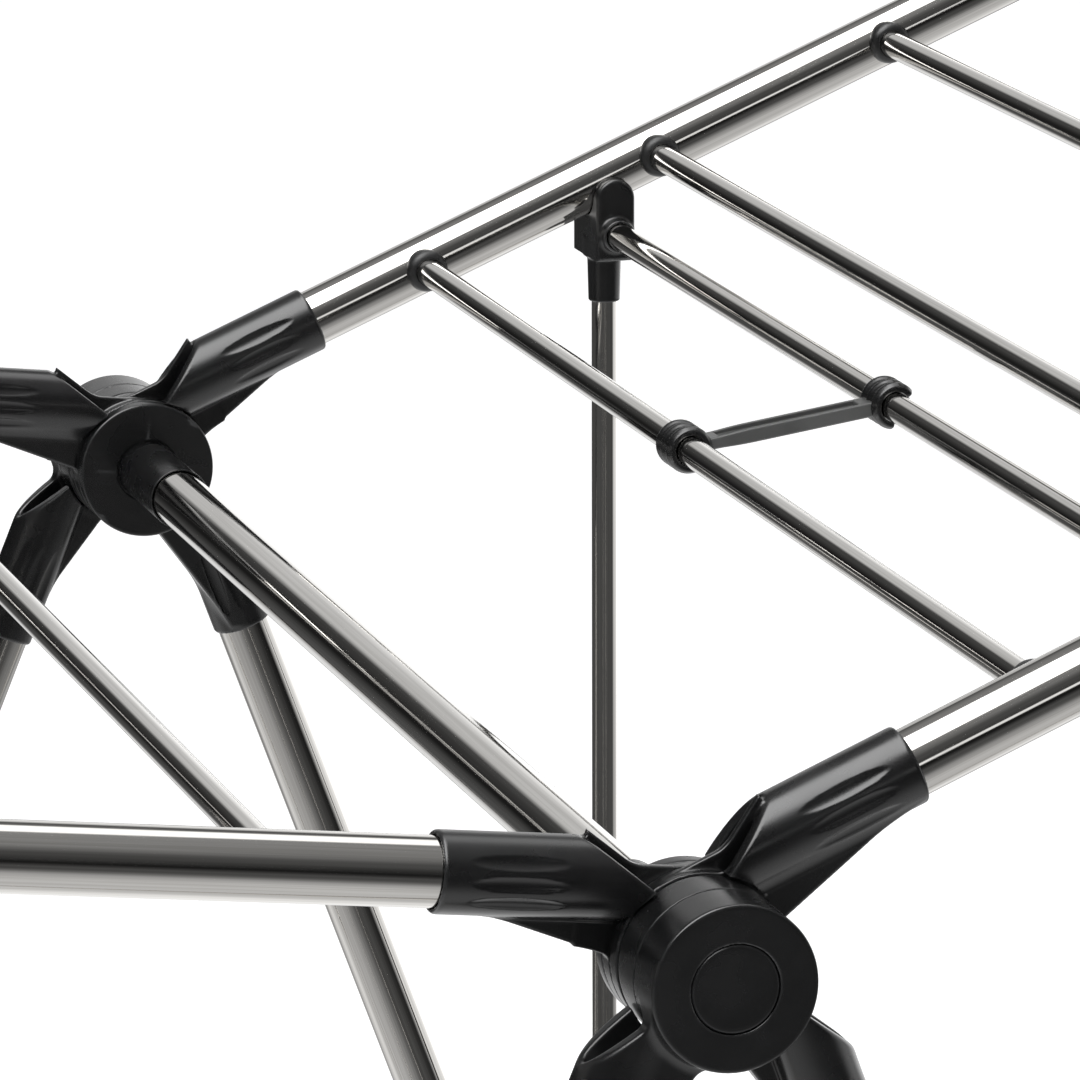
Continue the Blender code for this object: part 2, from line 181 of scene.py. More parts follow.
class Effect(Enum):
    """Surface effects that several finishes share, each one node group."""

    GRAIN = "moulded grain"
    # Lighter convex edges: partly handling wear, partly a painted rim highlight.
    EDGE_RUB = "edge rub"
    DUST = "settled dust"
    STREAKS = "drawn streaks"

    def group(self) -> bpy.types.NodeTree:
        """Gives the effect's node group, building it the first time.

        Returns:
            The shader node group.
        """
        known = bpy.data.node_groups.get(self.value)
        if known is not None:
            return known
        tree = bpy.data.node_groups.new(self.value, "ShaderNodeTree")
        {Effect.GRAIN: self._grain, Effect.EDGE_RUB: self._edge_rub, Effect.DUST: self._dust,
         Effect.STREAKS: self._streaks}[self](tree)
        return tree

    @staticmethod
    def _sockets(tree: bpy.types.NodeTree, inputs: dict[str, float], outputs: Sequence[str]) -> tuple:
        """Makes a group's sockets and end nodes.

        Args:
            tree: the group.
            inputs: input name to its default value.
            outputs: output names.

        Returns:
            A Graph, the group's input node and its output node.
        """
        for name, value in inputs.items():
            socket = tree.interface.new_socket(name, in_out="INPUT", socket_type="NodeSocketFloat")
            socket.default_value = value
        for name in outputs:
            tree.interface.new_socket(name, in_out="OUTPUT", socket_type="NodeSocketFloat")
        graph = Graph(tree)
        return graph, graph.add("NodeGroupInput"), graph.add("NodeGroupOutput")

    @staticmethod
    def _grain(tree: bpy.types.NodeTree) -> None:
        """Fine spark-eroded grain of a mould, with slow cloudy changes of sheen."""
        graph, given, result = Effect._sockets(tree, {"Scale": 1800.0}, ("Height", "Tone"))
        place = graph.add("TexCoord").outputs["Object"]
        fine = graph.add("TexNoise", {"Vector": place, "Scale": given.outputs["Scale"], "Detail": 3.0,
                                      "Roughness": 0.6})
        slow = graph.add("TexNoise", {"Vector": place, "Scale": 38.0, "Detail": 4.0, "Roughness": 0.55})
        graph.join(fine.outputs[0], result.inputs["Height"])
        graph.join(graph.ramp(slow.outputs[0], 0.32, 0.68), result.inputs["Tone"])

    @staticmethod
    def _edge_rub(tree: bpy.types.NodeTree) -> None:
        """A mask of convex edges, broken up as handling does. The lighter colour it brings in is partly
        handling wear and partly a painted highlight along the rims.
        """
        graph, given, result = Effect._sockets(tree, {"Start": 0.52, "Full": 0.60}, ("Mask",))
        place = graph.add("TexCoord").outputs["Object"]
        edge = graph.add("NewGeometry").outputs["Pointiness"]
        width = graph.add("MapRange", {"Value": edge, "From Min": given.outputs["Start"],
                                       "From Max": given.outputs["Full"]}, clamp=True)
        broken = graph.add("TexNoise", {"Vector": place, "Scale": 160.0, "Detail": 5.0})
        keep = graph.ramp(broken.outputs[0], 0.30, 0.62, 0.35, 1.0)
        graph.join(graph.maths("MULTIPLY", width.outputs["Result"], keep, True), result.inputs["Mask"])

    @staticmethod
    def _dust(tree: bpy.types.NodeTree) -> None:
        """A faint film on what faces up."""
        graph, given, result = Effect._sockets(tree, {"Amount": 0.2}, ("Mask",))
        place = graph.add("TexCoord").outputs["Object"]
        normal = graph.add("SeparateXYZ", {"Vector": graph.add("NewGeometry").outputs["Normal"]})
        upward = graph.ramp(normal.outputs["Z"], 0.45, 1.0)
        patches = graph.add("TexNoise", {"Vector": place, "Scale": 70.0, "Detail": 8.0, "Roughness": 0.7})
        film = graph.maths("MULTIPLY", upward, graph.ramp(patches.outputs[0], 0.35, 0.75))
        graph.join(graph.maths("MULTIPLY", film, given.outputs["Amount"], True), result.inputs["Mask"])

    @staticmethod
    def _streaks(tree: bpy.types.NodeTree) -> None:
        """Fine lines that the drawing and polishing of a tube leave along its axis, and faint hand marks."""
        graph, given, result = Effect._sockets(tree, {"Fineness": 900.0, "Run": 6.0},
                                               ("Streak", "Height", "Smudge"))
        place = graph.add("TexCoord").outputs["Object"]
        size = graph.add("CombineXYZ", {0: given.outputs["Fineness"], 1: given.outputs["Fineness"],
                                        2: given.outputs["Run"]})
        stretched = graph.add("VectorMath", {0: place, 1: size.outputs[0]}, operation="MULTIPLY")
        lines = graph.add("TexNoise", {"Vector": stretched.outputs[0], "Scale": 1.0, "Detail": 4.0,
                                       "Roughness": 0.62})
        marks = graph.add("TexNoise", {"Vector": place, "Scale": 46.0, "Detail": 6.0, "Roughness": 0.6})
        graph.join(graph.ramp(lines.outputs[0], 0.3, 0.7), result.inputs["Streak"])
        graph.join(lines.outputs[0], result.inputs["Height"])
        graph.join(graph.ramp(marks.outputs[0], 0.46, 0.72), result.inputs["Smudge"])


# ---------------------------------------------------------------- finishes

def blank(name: str) -> tuple[bpy.types.Material, Graph, bpy.types.Node]:
    """Starts a material that holds only a Principled shader and its output.

    Args:
        name: the material's name.

    Returns:
        The material, its graph and the shader node.
    """
    made = bpy.data.materials.new(name)
    made.use_nodes = True
    graph = Graph(made.node_tree)
    return made, graph, made.node_tree.nodes["Principled BSDF"]


@dataclass(frozen=True)
class DrawnSteel:
    """Polished stainless tube with fine lines along its axis."""

    name: str = "polished stainless"
    pale: Colour = (0.74, 0.725, 0.70)
    deep: Colour = (0.60, 0.585, 0.56)
    sheen: float = 0.045
    dull: float = 0.10
    uneven: float = 0.03
    fineness: float = 900.0
    relief: float = 0.03
    line_depth: float = 0.0001

    def make(self) -> bpy.types.Material:
        """Builds the material."""
        made, graph, shader = blank(self.name)
        streaks = graph.add("Group", node_tree=Effect.STREAKS.group())
        streaks.inputs["Fineness"].default_value = self.fineness
        colour = graph.blend(streaks.outputs["Streak"], (*self.deep, 1), (*self.pale, 1))
        graph.join(colour, shader.inputs["Base Color"])
        lines = graph.ramp(streaks.outputs["Streak"], 0, 1, self.sheen, self.sheen + self.uneven, False)
        marks = graph.ramp(streaks.outputs["Smudge"], 0, 1, 0, self.dull - self.sheen, False)
        graph.join(graph.total(lines, marks), shader.inputs["Roughness"])
        shader.inputs["Metallic"].default_value = 1.0
        bump = graph.add("Bump", {"Height": streaks.outputs["Height"], "Strength": self.relief,
                                  "Distance": self.line_depth})
        graph.join(bump.outputs[0], shader.inputs["Normal"])
        return made


@dataclass(frozen=True)
class Moulding:
    """Injection-moulded plastic or rubber."""

    name: str
    colour: Colour
    # Colour of convex edges: partly handling wear, partly a painted highlight along the rims.
    rubbed_and_highlit: Colour
    roughness: float
    grain: float = 1800.0
    relief: float = 0.25
    dust: float = 0.05
    film: Colour = (0.10, 0.10, 0.098)
    gloss: float = 0.8
    cloud: float = 1.35
    grain_depth: float = 0.00008

    def make(self) -> bpy.types.Material:
        """Builds the material."""
        made, graph, shader = blank(self.name)
        grain = graph.add("Group", node_tree=Effect.GRAIN.group())
        grain.inputs["Scale"].default_value = self.grain
        # Convex edges turn lighter: handling wear together with a painted rim highlight.
        wear_and_highlight = graph.add("Group", node_tree=Effect.EDGE_RUB.group())
        dust = graph.add("Group", node_tree=Effect.DUST.group())
        dust.inputs["Amount"].default_value = self.dust
        cloudy = tuple(min(1.0, c * self.cloud) for c in self.colour)
        body = graph.blend(grain.outputs["Tone"], (*self.colour, 1), (*cloudy, 1))
        worn_and_highlit = graph.blend(wear_and_highlight.outputs["Mask"], body, (*self.rubbed_and_highlit, 1))
        graph.join(graph.blend(dust.outputs["Mask"], worn_and_highlit, (*self.film, 1)), shader.inputs["Base Color"])
        smoother, duller = self.roughness - 0.035, self.roughness + 0.05
        sheen = graph.ramp(grain.outputs["Tone"], 0, 1, smoother, duller, False)
        graph.join(sheen, shader.inputs["Roughness"])
        shader.inputs["Specular IOR Level"].default_value = self.gloss
        bump = graph.add("Bump", {"Height": grain.outputs["Height"], "Strength": self.relief,
                                  "Distance": self.grain_depth})
        graph.join(bump.outputs[0], shader.inputs["Normal"])
        return made


class Finish(Enum):
    """The rack's finishes, each with the record's material slot that it shows."""

    STEEL = (DrawnSteel(), "polished_steel")
    # Each moulding's second colour is what its convex edges turn to: handling wear and a painted rim highlight.
    BLACK = (Moulding("satin black plastic", (0.0045, 0.0046, 0.0048), (0.040, 0.041, 0.042),
                      roughness=0.25, relief=0.12), "black_plastic")
    GRAPHITE = (Moulding("graphite plastic", (0.060, 0.061, 0.060), (0.10, 0.10, 0.10),
                         roughness=0.34), "graphite_plastic")
    GROMMET = (Moulding("grommet plastic", (0.0045, 0.0046, 0.0048), (0.016, 0.016, 0.0165),
                        roughness=0.42, grain=2400.0), "black_plastic")
    RUBBER = (Moulding("foot rubber", (0.011, 0.011, 0.011), (0.030, 0.030, 0.029),
                       roughness=0.62, grain=1200.0, relief=0.5, dust=0.2), "foot_rubber")

    @property
    def slot(self) -> str:
        """The record's material slot."""
        return self.value[1]

    def material(self) -> bpy.types.Material:
        """The finish's one material, made when first asked for."""
        return bpy.data.materials.get(self.value[0].name) or self.value[0].make()


# ---------------------------------------------------------------- distance fields, in millimetres

def soft_min(first: np.ndarray, second: np.ndarray, reach: float) -> np.ndarray:
    """Joins two fields with a fillet.

    Args:
        first: distances to one shape.
        second: distances to the other.
        reach: how wide the fillet blends.

    Returns:
        Distances to the joined shape.
    """
    near = np.maximum(reach - np.abs(first - second), 0.0) / reach
    return np.minimum(first, second) - near * near * reach * 0.25


def soft_max(first: np.ndarray, second: np.ndarray, reach: float) -> np.ndarray:
    """Keeps what is in both fields, with a rounded edge. Arguments and result as for soft_min."""
    return -soft_min(-first, -second, reach)


def band(value: np.ndarray, low: float, high: float) -> np.ndarray:
    """Distance outside the span from low to high."""
    return np.abs(value - (low + high) / 2) - (high - low) / 2


def ellipsoid(point: Sequence[np.ndarray], centre: Sequence[float], sizes: Sequence[float]) -> np.ndarray:
    """Approximate distance to an ellipsoid.

    Args:
        point: three coordinate arrays.
        centre: its centre.
        sizes: its three half axes.

    Returns:
        Distances.
    """
    scaled = [(p - c) / r for p, c, r in zip(point, centre, sizes)]
    first = np.sqrt(sum(v * v for v in scaled))
    second = np.sqrt(sum((v / r) ** 2 for v, r in zip(scaled, sizes)))
    return first * (first - 1.0) / np.maximum(second, 1e-6)


@dataclass
class Skin:
    """The closed surface of a field: points and normals in its own frame, and quads."""

    points: np.ndarray
    quads: np.ndarray
    normals: np.ndarray

    @classmethod
    def of(cls, shape: Field, low: Sequence[float], high: Sequence[float], pitch: float) -> "Skin":
        """Wraps a field in quads, one point for each crossed cell of a grid, drawn onto the surface.

        Args:
            shape: the field; it takes an array whose last axis is the coordinates.
            low: the grid's lowest corner, clear of the solid.
            high: its highest corner, clear of the solid.
            pitch: the grid's step.

        Returns:
            The skin.
        """
        low = np.asarray(low, float)
        counts = np.ceil((np.asarray(high, float) - low) / pitch).astype(int) + 1
        lines = [low[i] + pitch * np.arange(counts[i]) for i in range(3)]
        value = shape(np.stack(np.meshgrid(*lines, indexing="ij"), -1))
        solid = value < 0
        corners = np.array([(i, j, k) for i in (0, 1) for j in (0, 1) for k in (0, 1)])
        cells = tuple(counts - 1)
        inside = np.zeros(cells, np.int8)
        for corner in corners:
            window = tuple(slice(c, c + n) for c, n in zip(corner, cells))
            inside += solid[window]
        active = np.argwhere((inside > 0) & (inside < 8))
        number = np.full(cells, -1, np.int64)
        number[tuple(active.T)] = np.arange(len(active))
        held = np.stack([value[tuple((active + c).T)] for c in corners], 1)
        total = np.zeros((len(active), 3))
        count = np.zeros(len(active))
        for a in range(8):
            for b in range(a + 1, 8):
                if np.abs(corners[a] - corners[b]).sum() != 1:
                    continue
                first, second = held[:, a], held[:, b]
                crossed = (first < 0) != (second < 0)
                part = np.where(crossed, first / np.where(crossed, first - second, 1.0), 0.0)
                point = corners[a] + part[:, None] * (corners[b] - corners[a])
                total += np.where(crossed[:, None], point, 0.0)
                count += crossed
        points = low + pitch * (active + total / count[:, None])
        quads = []
        for a, b, c in ((0, 1, 2), (1, 2, 0), (2, 0, 1)):
            step = np.eye(3, dtype=int)
            stop = [slice(1, -1)] * 3
            stop[a] = slice(0, -1)
            start = solid[tuple(stop)]
            ahead = [slice(1, -1)] * 3
            ahead[a] = slice(1, None)
            change = start != solid[tuple(ahead)]
            shift = np.array([1, 1, 1]) - step[a]
            where = np.argwhere(change) + shift
            around = [where - step[b] - step[c], where - step[c], where, where - step[b]]
            ring = np.stack([number[tuple(w.T)] for w in around], 1)
            outward = solid[tuple(where.T)]
            quads.append(np.where(outward[:, None], ring, ring[:, ::-1]))
        made = cls(points, np.concatenate(quads), np.zeros_like(points))
        made.settle(shape, pitch)
        return made

    def settle(self, shape: Field, pitch: float) -> None:
        """Draws the points onto the surface and sets the normals from the field's slope.

        Args:
            shape: the field.
            pitch: the grid's step, which limits each move.
        """
        for _ in range(4):
            slope = self.slope(shape)
            size = np.maximum((slope * slope).sum(1), 1e-6)
            move = -(shape(self.points) / size)[:, None] * slope
            length = np.linalg.norm(move, axis=1, keepdims=True)
            self.points = self.points + move * np.minimum(1.0, 0.35 * pitch / np.maximum(length, 1e-9))
        slope = self.slope(shape)
        self.normals = slope / np.maximum(np.linalg.norm(slope, axis=1, keepdims=True), 1e-9)

    def slope(self, shape: Field) -> np.ndarray:
        """The field's slope at each point."""
        step = 0.05
        sides = []
        for axis in range(3):
            shift = np.zeros(3)
            shift[axis] = step
            sides.append((shape(self.points + shift) - shape(self.points - shift)) / (2 * step))
        return np.stack(sides, 1)

    def place(self, name: str, origin: Vector, axes: Sequence[Vector]) -> bpy.types.Object:
        """Makes an object of the skin, in the rack's frame.

        Args:
            name: the object's name.
            origin: where the field's own origin stands, in metres.
            axes: the three directions of the field's coordinates.

        Returns:
            The new object, whose own origin is the rack's.
        """
        turn = np.array([list(a) for a in axes])
        points = np.array(origin) + MM * self.points @ turn
        quads, normals = self.quads, self.normals @ turn
        if np.linalg.det(turn) < 0:
            quads = quads[:, ::-1]
        mesh = bpy.data.meshes.new(name)
        mesh.vertices.add(len(points))
        mesh.vertices.foreach_set("co", points.astype(np.float32).ravel())
        mesh.loops.add(quads.size)
        mesh.loops.foreach_set("vertex_index", quads.astype(np.int32).ravel())
        mesh.polygons.add(len(quads))
        mesh.polygons.foreach_set("loop_start", np.arange(0, quads.size, 4, dtype=np.int32))
        mesh.update(calc_edges=True)
        mesh.validate()
        mesh.shade_smooth()
        if len(mesh.vertices) == len(normals):
            mesh.normals_split_custom_set_from_vertices([tuple(n) for n in normals])
        made = bpy.data.objects.new(name, mesh)
        bpy.context.scene.collection.objects.link(made)
        return made


# ---------------------------------------------------------------- turned shapes

SHARP = math.radians(32)
TUBE_FACETS = 72


def eased(profile: Profile, reach: float, steps: int = 3) -> list[tuple[float, float]]:
    """Rounds the inner corners of an open profile.

    Args:
        profile: (radius, height) corners.
        reach: how far from each corner its curve starts.
        steps: pieces in each curve.

    Returns:
        The rounded profile.
    """
    made = [profile[0]]
    for before, corner, after in zip(profile, profile[1:], profile[2:]):
        p, c, n = Vector(before), Vector(corner), Vector(after)
        cut = min(reach, (c - p).length * 0.45, (n - c).length * 0.45)
        start, end = c + (p - c).normalized() * cut, c + (n - c).normalized() * cut
        for i in range(steps + 1):
            t = i / steps
            made.append(tuple(start * (1 - t) ** 2 + c * (2 * t * (1 - t)) + end * t ** 2))
    made.append(profile[-1])
    return made


def turned(name: str, profile: Profile, start: Vector, towards: Vector, segments: int = 64,
           loop: bool = False) -> bpy.types.Object:
    """Turns a profile about an axis.

    Args:
        name: the object's name.
        profile: (radius, height) points in millimetres; the solid lies on the inner side.
        start: where height 0 lies, in metres.
        towards: the direction of growing height.
        segments: facets round the axis.
        loop: the profile closes on itself, as a tube's does.

    Returns:
        The new object, with its own Z along the axis.
    """
    points: list[tuple[float, float, float]] = []
    rows: list[list[int]] = []
    for radius, height in profile:
        if radius < 1e-6:
            rows.append([len(points)] * segments)
            points.append((0.0, 0.0, height * MM))
            continue
        rows.append(list(range(len(points), len(points) + segments)))
        turns = [math.tau * i / segments for i in range(segments)]
        points += [(radius * MM * math.cos(a), radius * MM * math.sin(a), height * MM) for a in turns]
    pairs = list(zip(rows, rows[1:]))
    if loop:
        pairs.append((rows[-1], rows[0]))
    faces = []
    for low, high in pairs:
        for i in range(segments):
            j = (i + 1) % segments
            corners = list(dict.fromkeys((low[i], low[j], high[j], high[i])))
            if len(corners) > 2:
                faces.append(corners)
    mesh = bpy.data.meshes.new(name)
    mesh.from_pydata(points, [], faces)
    mesh.shade_smooth()
    mesh.set_sharp_from_angle(angle=SHARP)
    made = bpy.data.objects.new(name, mesh)
    bpy.context.scene.collection.objects.link(made)
    even = made.modifiers.new("even shading", "WEIGHTED_NORMAL")
    even.keep_sharp = True
    turn = Vector(towards).to_track_quat("Z", "Y").to_matrix().to_4x4()
    made.matrix_world = Matrix.Translation(start) @ turn
    return made


def tube(name: str, start: Vector, end: Vector, radius: float, wall: float = 1.0) -> bpy.types.Object:
    """A round tube with deburred ends.

    Args:
        name: the object's name.
        start: one end of its axis, in metres.
        end: the other end.
        radius: its outer radius, in millimetres.
        wall: its wall, in millimetres.

    Returns:
        The new object.
    """
    length = (Vector(end) - Vector(start)).length / MM
    bore, ease = radius - wall, 0.3
    profile = [(bore, ease), (bore + ease * 0.6, 0), (radius - ease, 0), (radius - ease * 0.3, ease * 0.3),
               (radius, ease), (radius, length - ease), (radius - ease * 0.3, length - ease * 0.3),
               (radius - ease, length), (bore + ease * 0.6, length), (bore, length - ease)]
    return turned(name, profile, start, Vector(end) - Vector(start), TUBE_FACETS, True)


# ---------------------------------------------------------------- frames of the moving halves

def centre(node: str) -> Vector:
    """The middle of a CAD node's box."""
    low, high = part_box(node)
    return (low + high) / 2


def hub_axis() -> Vector:
    """Where the hub axis crosses the middle plane of the rack."""
    middle = centre("hub_plug_near")
    return Vector((middle.x, 0, middle.z))


def outward(end: End) -> Vector:
    """The direction that points out of the rack at an end."""
    return Vector((0, end.value, 0))


@dataclass
class Plane2:
    """A frame whose second axis is the hub axis: along runs out from the origin and upper is square to it."""

    origin: Vector
    along: Vector
    upper: Vector

    @classmethod
    def through(cls, origin: Vector, target: Vector, upper_hint: Vector) -> "Plane2":
        """A frame at an origin that points at a target, both taken at the middle of the rack.

        Args:
            origin: the frame's origin.
            target: a point that lies ahead on a line parallel with the frame's first axis.
            upper_hint: a direction on the upper side.

        Returns:
            The frame.
        """
        flat = Vector((target.x - origin.x, 0, target.z - origin.z)).normalized()
        upper = Vector((-flat.z, 0, flat.x))
        if upper.dot(upper_hint) < 0:
            upper = -upper
        return cls(Vector((origin.x, 0, origin.z)), flat, upper)

    def moved(self, origin: Vector) -> "Plane2":
        """The same directions at another origin."""
        return Plane2(Vector((origin.x, 0, origin.z)), self.along, self.upper)

    def at(self, along: float, y: float, upper: float) -> Vector:
        """A point, from millimetres in this frame to metres in the rack's."""
        return self.origin + MM * (along * self.along + upper * self.upper) + Vector((0, y * MM, 0))

    def axes(self, end: End) -> tuple[Vector, Vector, Vector]:
        """This frame's directions with the second one pointing out of the rack at that end."""
        return self.along, outward(end), self.upper

    def reach_of(self, node: str) -> float:
        """How far along this frame the middle of a CAD node lies, in millimetres."""
        return (centre(node) - self.origin).dot(self.along) / MM


@dataclass
class Shop:
    """Gives each finished piece its material, body and place in the table."""

    count: int = 0

    def add(self, piece: bpy.types.Object, finish: Finish, body: str,
            nodes: Iterable[str] = ()) -> bpy.types.Object:
        """Dresses a piece and ties it to its body.

        Args:
            piece: the object.
            finish: its finish.
            body: the CAD body that it rides on.
            nodes: the CAD nodes that it stands for.

        Returns:
            The piece.
        """
        piece.data.materials.clear()
        piece.data.materials.append(finish.material())
        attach(piece, body)
        for node in nodes:
            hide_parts(node)
        self.count += 1
        log.info("%-28s %-18s on %s", piece.name, finish.name.lower(), body)
        return piece


# ---------------------------------------------------------------- mouldings

@dataclass
class SocketArm:
    """A sleeve on a tube, a web and the ring that turns on the hub's journal.

    Coordinates: s along the tube from the hub axis, t outward along the hub axis from the sleeve's middle
    plane, n to the upper side. The sleeve's hub end is cut on a slant and has an arched hollow in it.
    """

    plane: float
    offset: float
    radius: float
    bore: float
    ring: Span
    web: Span
    saddle: Span | None = None
    inner_edge: float = 0.5
    outer_edge: float = 0.5
    flow: float = 1.6
    hub_radius: float = 23.8
    journal: float = 12.8
    mouth: float = 77.0
    slant: tuple[float, float] = (0.545, 0.838)
    shoulder: float = 35.0
    web_slant: tuple[float, float] = (0.276, 0.961)
    web_foot: tuple[float, float] = (22.0, 3.0)
    web_reach: Span = (4.0, 74.0)
    hollow_start: float = 15.0
    hollow_length: float = 19.3
    hollow_half: float = 6.3
    hollow_floor: float = 9.0
    crest: float = 23.4
    crest_rise: float = 2.3
    crest_fall: float = 0.65
    tube_stop: float = 35.5
    dent_at: float = 55.0
    dent_half: tuple[float, float] = (14.5, 2.5)
    dent_lift: float = 0.45
    dent_angles: tuple[int, ...] = (30, 0, -30, 150, 180, 210)
    dent_wall: float = 1.2
    pitch: float = 0.62

    @property
    def top(self) -> float:
        """The sleeve's highest line."""
        return self.offset + self.radius

    def span(self, given: Span) -> Span:
        """A span along the hub axis, from the rack's middle to this arm's own plane."""
        return given[0] - self.plane, given[1] - self.plane

    def sleeve(self, s: np.ndarray, n: np.ndarray, across: np.ndarray) -> np.ndarray:
        """The round sleeve with its slanted hub end, from the distance across its axis."""
        along, rise = self.slant
        body = soft_max(across - self.radius, s - self.mouth, 1.4)
        return soft_max(body, -along * (s - self.shoulder) + rise * (n - self.top), 1.1)

    def flat_web(self, s: np.ndarray, t: np.ndarray, n: np.ndarray) -> np.ndarray:
        """The plate under the sleeve, tapering away from the hub."""
        along, fall = self.web_slant
        edge, drop = self.web_foot
        start, end = self.web_reach
        plate = np.maximum(along * (s - edge) - fall * (n + drop), s - end)
        plate = np.maximum(plate, np.maximum(n - self.offset + 1.0, start - s))
        return soft_max(plate, band(t, *self.span(self.web)), 1.0)

    def hollow(self, s: np.ndarray, t: np.ndarray, n: np.ndarray) -> np.ndarray:
        """The arched hollow in the sleeve's hub end."""
        arch = np.hypot(np.maximum(s - self.hollow_start, 0.0) / self.hollow_length, t / self.hollow_half)
        return soft_max(6.0 * (arch - 1.0), self.offset - self.hollow_floor - n, 1.0)

    def turning_ring(self, hub: np.ndarray, t: np.ndarray) -> np.ndarray:
        """The ring on the journal, from the distance to the hub axis."""
        low, high = self.span(self.ring)
        ring = soft_max(hub - self.hub_radius, t - high, self.outer_edge)
        return soft_max(ring, low - t, self.inner_edge)

    def gusset(self, s: np.ndarray, t: np.ndarray, n: np.ndarray) -> np.ndarray:
        """The crest between the ring and the sleeve's slanted end."""
        slope = self.top + self.crest_rise - self.crest_fall * (self.shoulder - s)
        crest = soft_max(np.full_like(s, self.crest), slope, 2.0)
        plate = np.maximum(0.9 * (n - crest), np.maximum(s - (self.shoulder - 1.0), -np.minimum(s, n)))
        return soft_max(plate, band(t, *self.span(self.saddle)), 0.7)

    def cleared(self, body: np.ndarray, hub: np.ndarray, t: np.ndarray, n: np.ndarray) -> np.ndarray:
        """Leaves room beside the ring for the neighbours that turn past it."""
        low, high = self.span(self.ring)
        room = hub - (self.hub_radius + 0.6)
        under = n - (self.offset - self.radius - 0.9)
        for limit, edge in ((room, 0.5), (under, 0.4)):
            body = soft_max(body, -np.maximum(limit, high - t), edge)
            body = soft_max(body, -np.maximum(limit, t - low), edge)
        return soft_max(body, -np.maximum(-room, self.radius + 0.3 + t), 0.4)

    def dents(self, s: np.ndarray, t: np.ndarray, off: np.ndarray) -> np.ndarray:
        """The long grip dimples on both sides of the sleeve."""
        length, width = self.dent_half
        depth = 0.8 if self.radius > 11.0 else 0.6
        sizes = (length, width, self.dent_lift + depth)
        dents = np.full_like(s, 99.0)
        for angle in self.dent_angles:
            a = math.radians(angle)
            out = t * math.cos(a) + off * math.sin(a)
            aside = -t * math.sin(a) + off * math.cos(a)
            dent = ellipsoid((s, aside, out), (self.dent_at, 0.0, self.radius + self.dent_lift), sizes)
            dents = np.minimum(dents, dent)
        return dents

    def shape(self, point: np.ndarray) -> np.ndarray:
        """The arm's field.

        Args:
            point: coordinates (s, t, n) on the last axis.

        Returns:
            Distances.
        """
        s, t, n = point[..., 0], point[..., 1], point[..., 2]
        off = n - self.offset
        hub, across = np.hypot(s, n), np.hypot(t, off)
        body = soft_min(self.sleeve(s, n, across), self.flat_web(s, t, n), 2.2)
        body = soft_max(body, -self.hollow(s, t, n), 0.9)
        body = soft_min(body, self.turning_ring(hub, t), self.flow)
        if self.saddle is not None:
            body = soft_min(body, self.gusset(s, t, n), 1.4)
        body = self.cleared(body, hub, t, n)
        body = soft_max(body, self.journal - hub, 0.35)
        dents = self.dents(s, t, off)
        body = soft_max(body, -dents, 0.3)
        bore = soft_max(across - self.bore, self.tube_stop - s, 0.5)
        bore = soft_max(bore, self.dent_wall - dents, 0.3)
        return soft_max(body, -bore, 0.2)

    def skin(self) -> Skin:
        """The arm's skin."""
        margin = 1.5
        reach = self.hub_radius + margin
        low, high = self.span(self.ring)
        corner = (-reach, min(low, -self.radius) - margin, -reach)
        far = (self.mouth + margin, max(high, self.radius) + margin, self.top + margin)
        return Skin.of(self.shape, corner, far, self.pitch)


@dataclass
class Fork:
    """The connector on top of a strut: two prongs beside the rail, a saddle, a crossbar boss and a neck.

    Coordinates: x across the strut, t outward from the rail's plane, z up the strut from the crossbar's axis.
    """

    rail_tilt: float
    rail: float = 10.0
    drop: float = 17.7
    half_width: float = 7.1
    half_depth: float = 14.5
    base: float = -9.8
    neck: float = 6.1
    neck_end: float = -26.5
    boss: float = 5.9
    boss_span: Span = (-19.0, -9.0)
    crossbar: float = 4.85
    strut: float = 4.7
    clearance: float = 0.25

    def shape(self, point: np.ndarray) -> np.ndarray:
        """The fork's field. Arguments and result as for SocketArm.shape."""
        x, t, z = point[..., 0], point[..., 1], point[..., 2]
        tip = self.drop / math.cos(self.rail_tilt) + 0.6 - self.half_width
        wall = np.maximum(np.abs(x) - self.half_width, np.maximum(z - tip, self.base - z))
        crown = np.hypot(x, z - tip) - self.half_width
        body = soft_max(np.minimum(wall, crown), np.abs(t) - self.half_depth, 1.8)
        neck = soft_max(np.hypot(x, t) - (self.neck + (z + 7.0) * 0.025), band(z, self.neck_end, -4.0), 0.9)
        body = soft_min(body, neck, 2.2)
        boss = soft_max(np.hypot(x, z) - self.boss, band(t, *self.boss_span), 0.8)
        body = soft_min(body, boss, 2.0)
        up = (-math.sin(self.rail_tilt), math.cos(self.rail_tilt))
        high = x * up[0] + z * up[1] - self.drop
        cradle = self.rail + self.clearance
        body = soft_max(body, -(np.hypot(t, high) - cradle), 0.6)
        body = soft_max(body, -np.maximum(np.abs(t) - cradle, -high), 0.6)
        body = soft_max(body, -np.maximum(np.hypot(x, z) - self.crossbar, t + 6.0), 0.15)
        return soft_max(body, -np.maximum(np.hypot(x, t) - self.strut, z + 9.5), 0.4)

    def skin(self) -> Skin:
        """The fork's skin."""
        return Skin.of(self.shape, (-9.5, -21.0, -28.0), (9.5, 16.5, 22.5), 0.5)


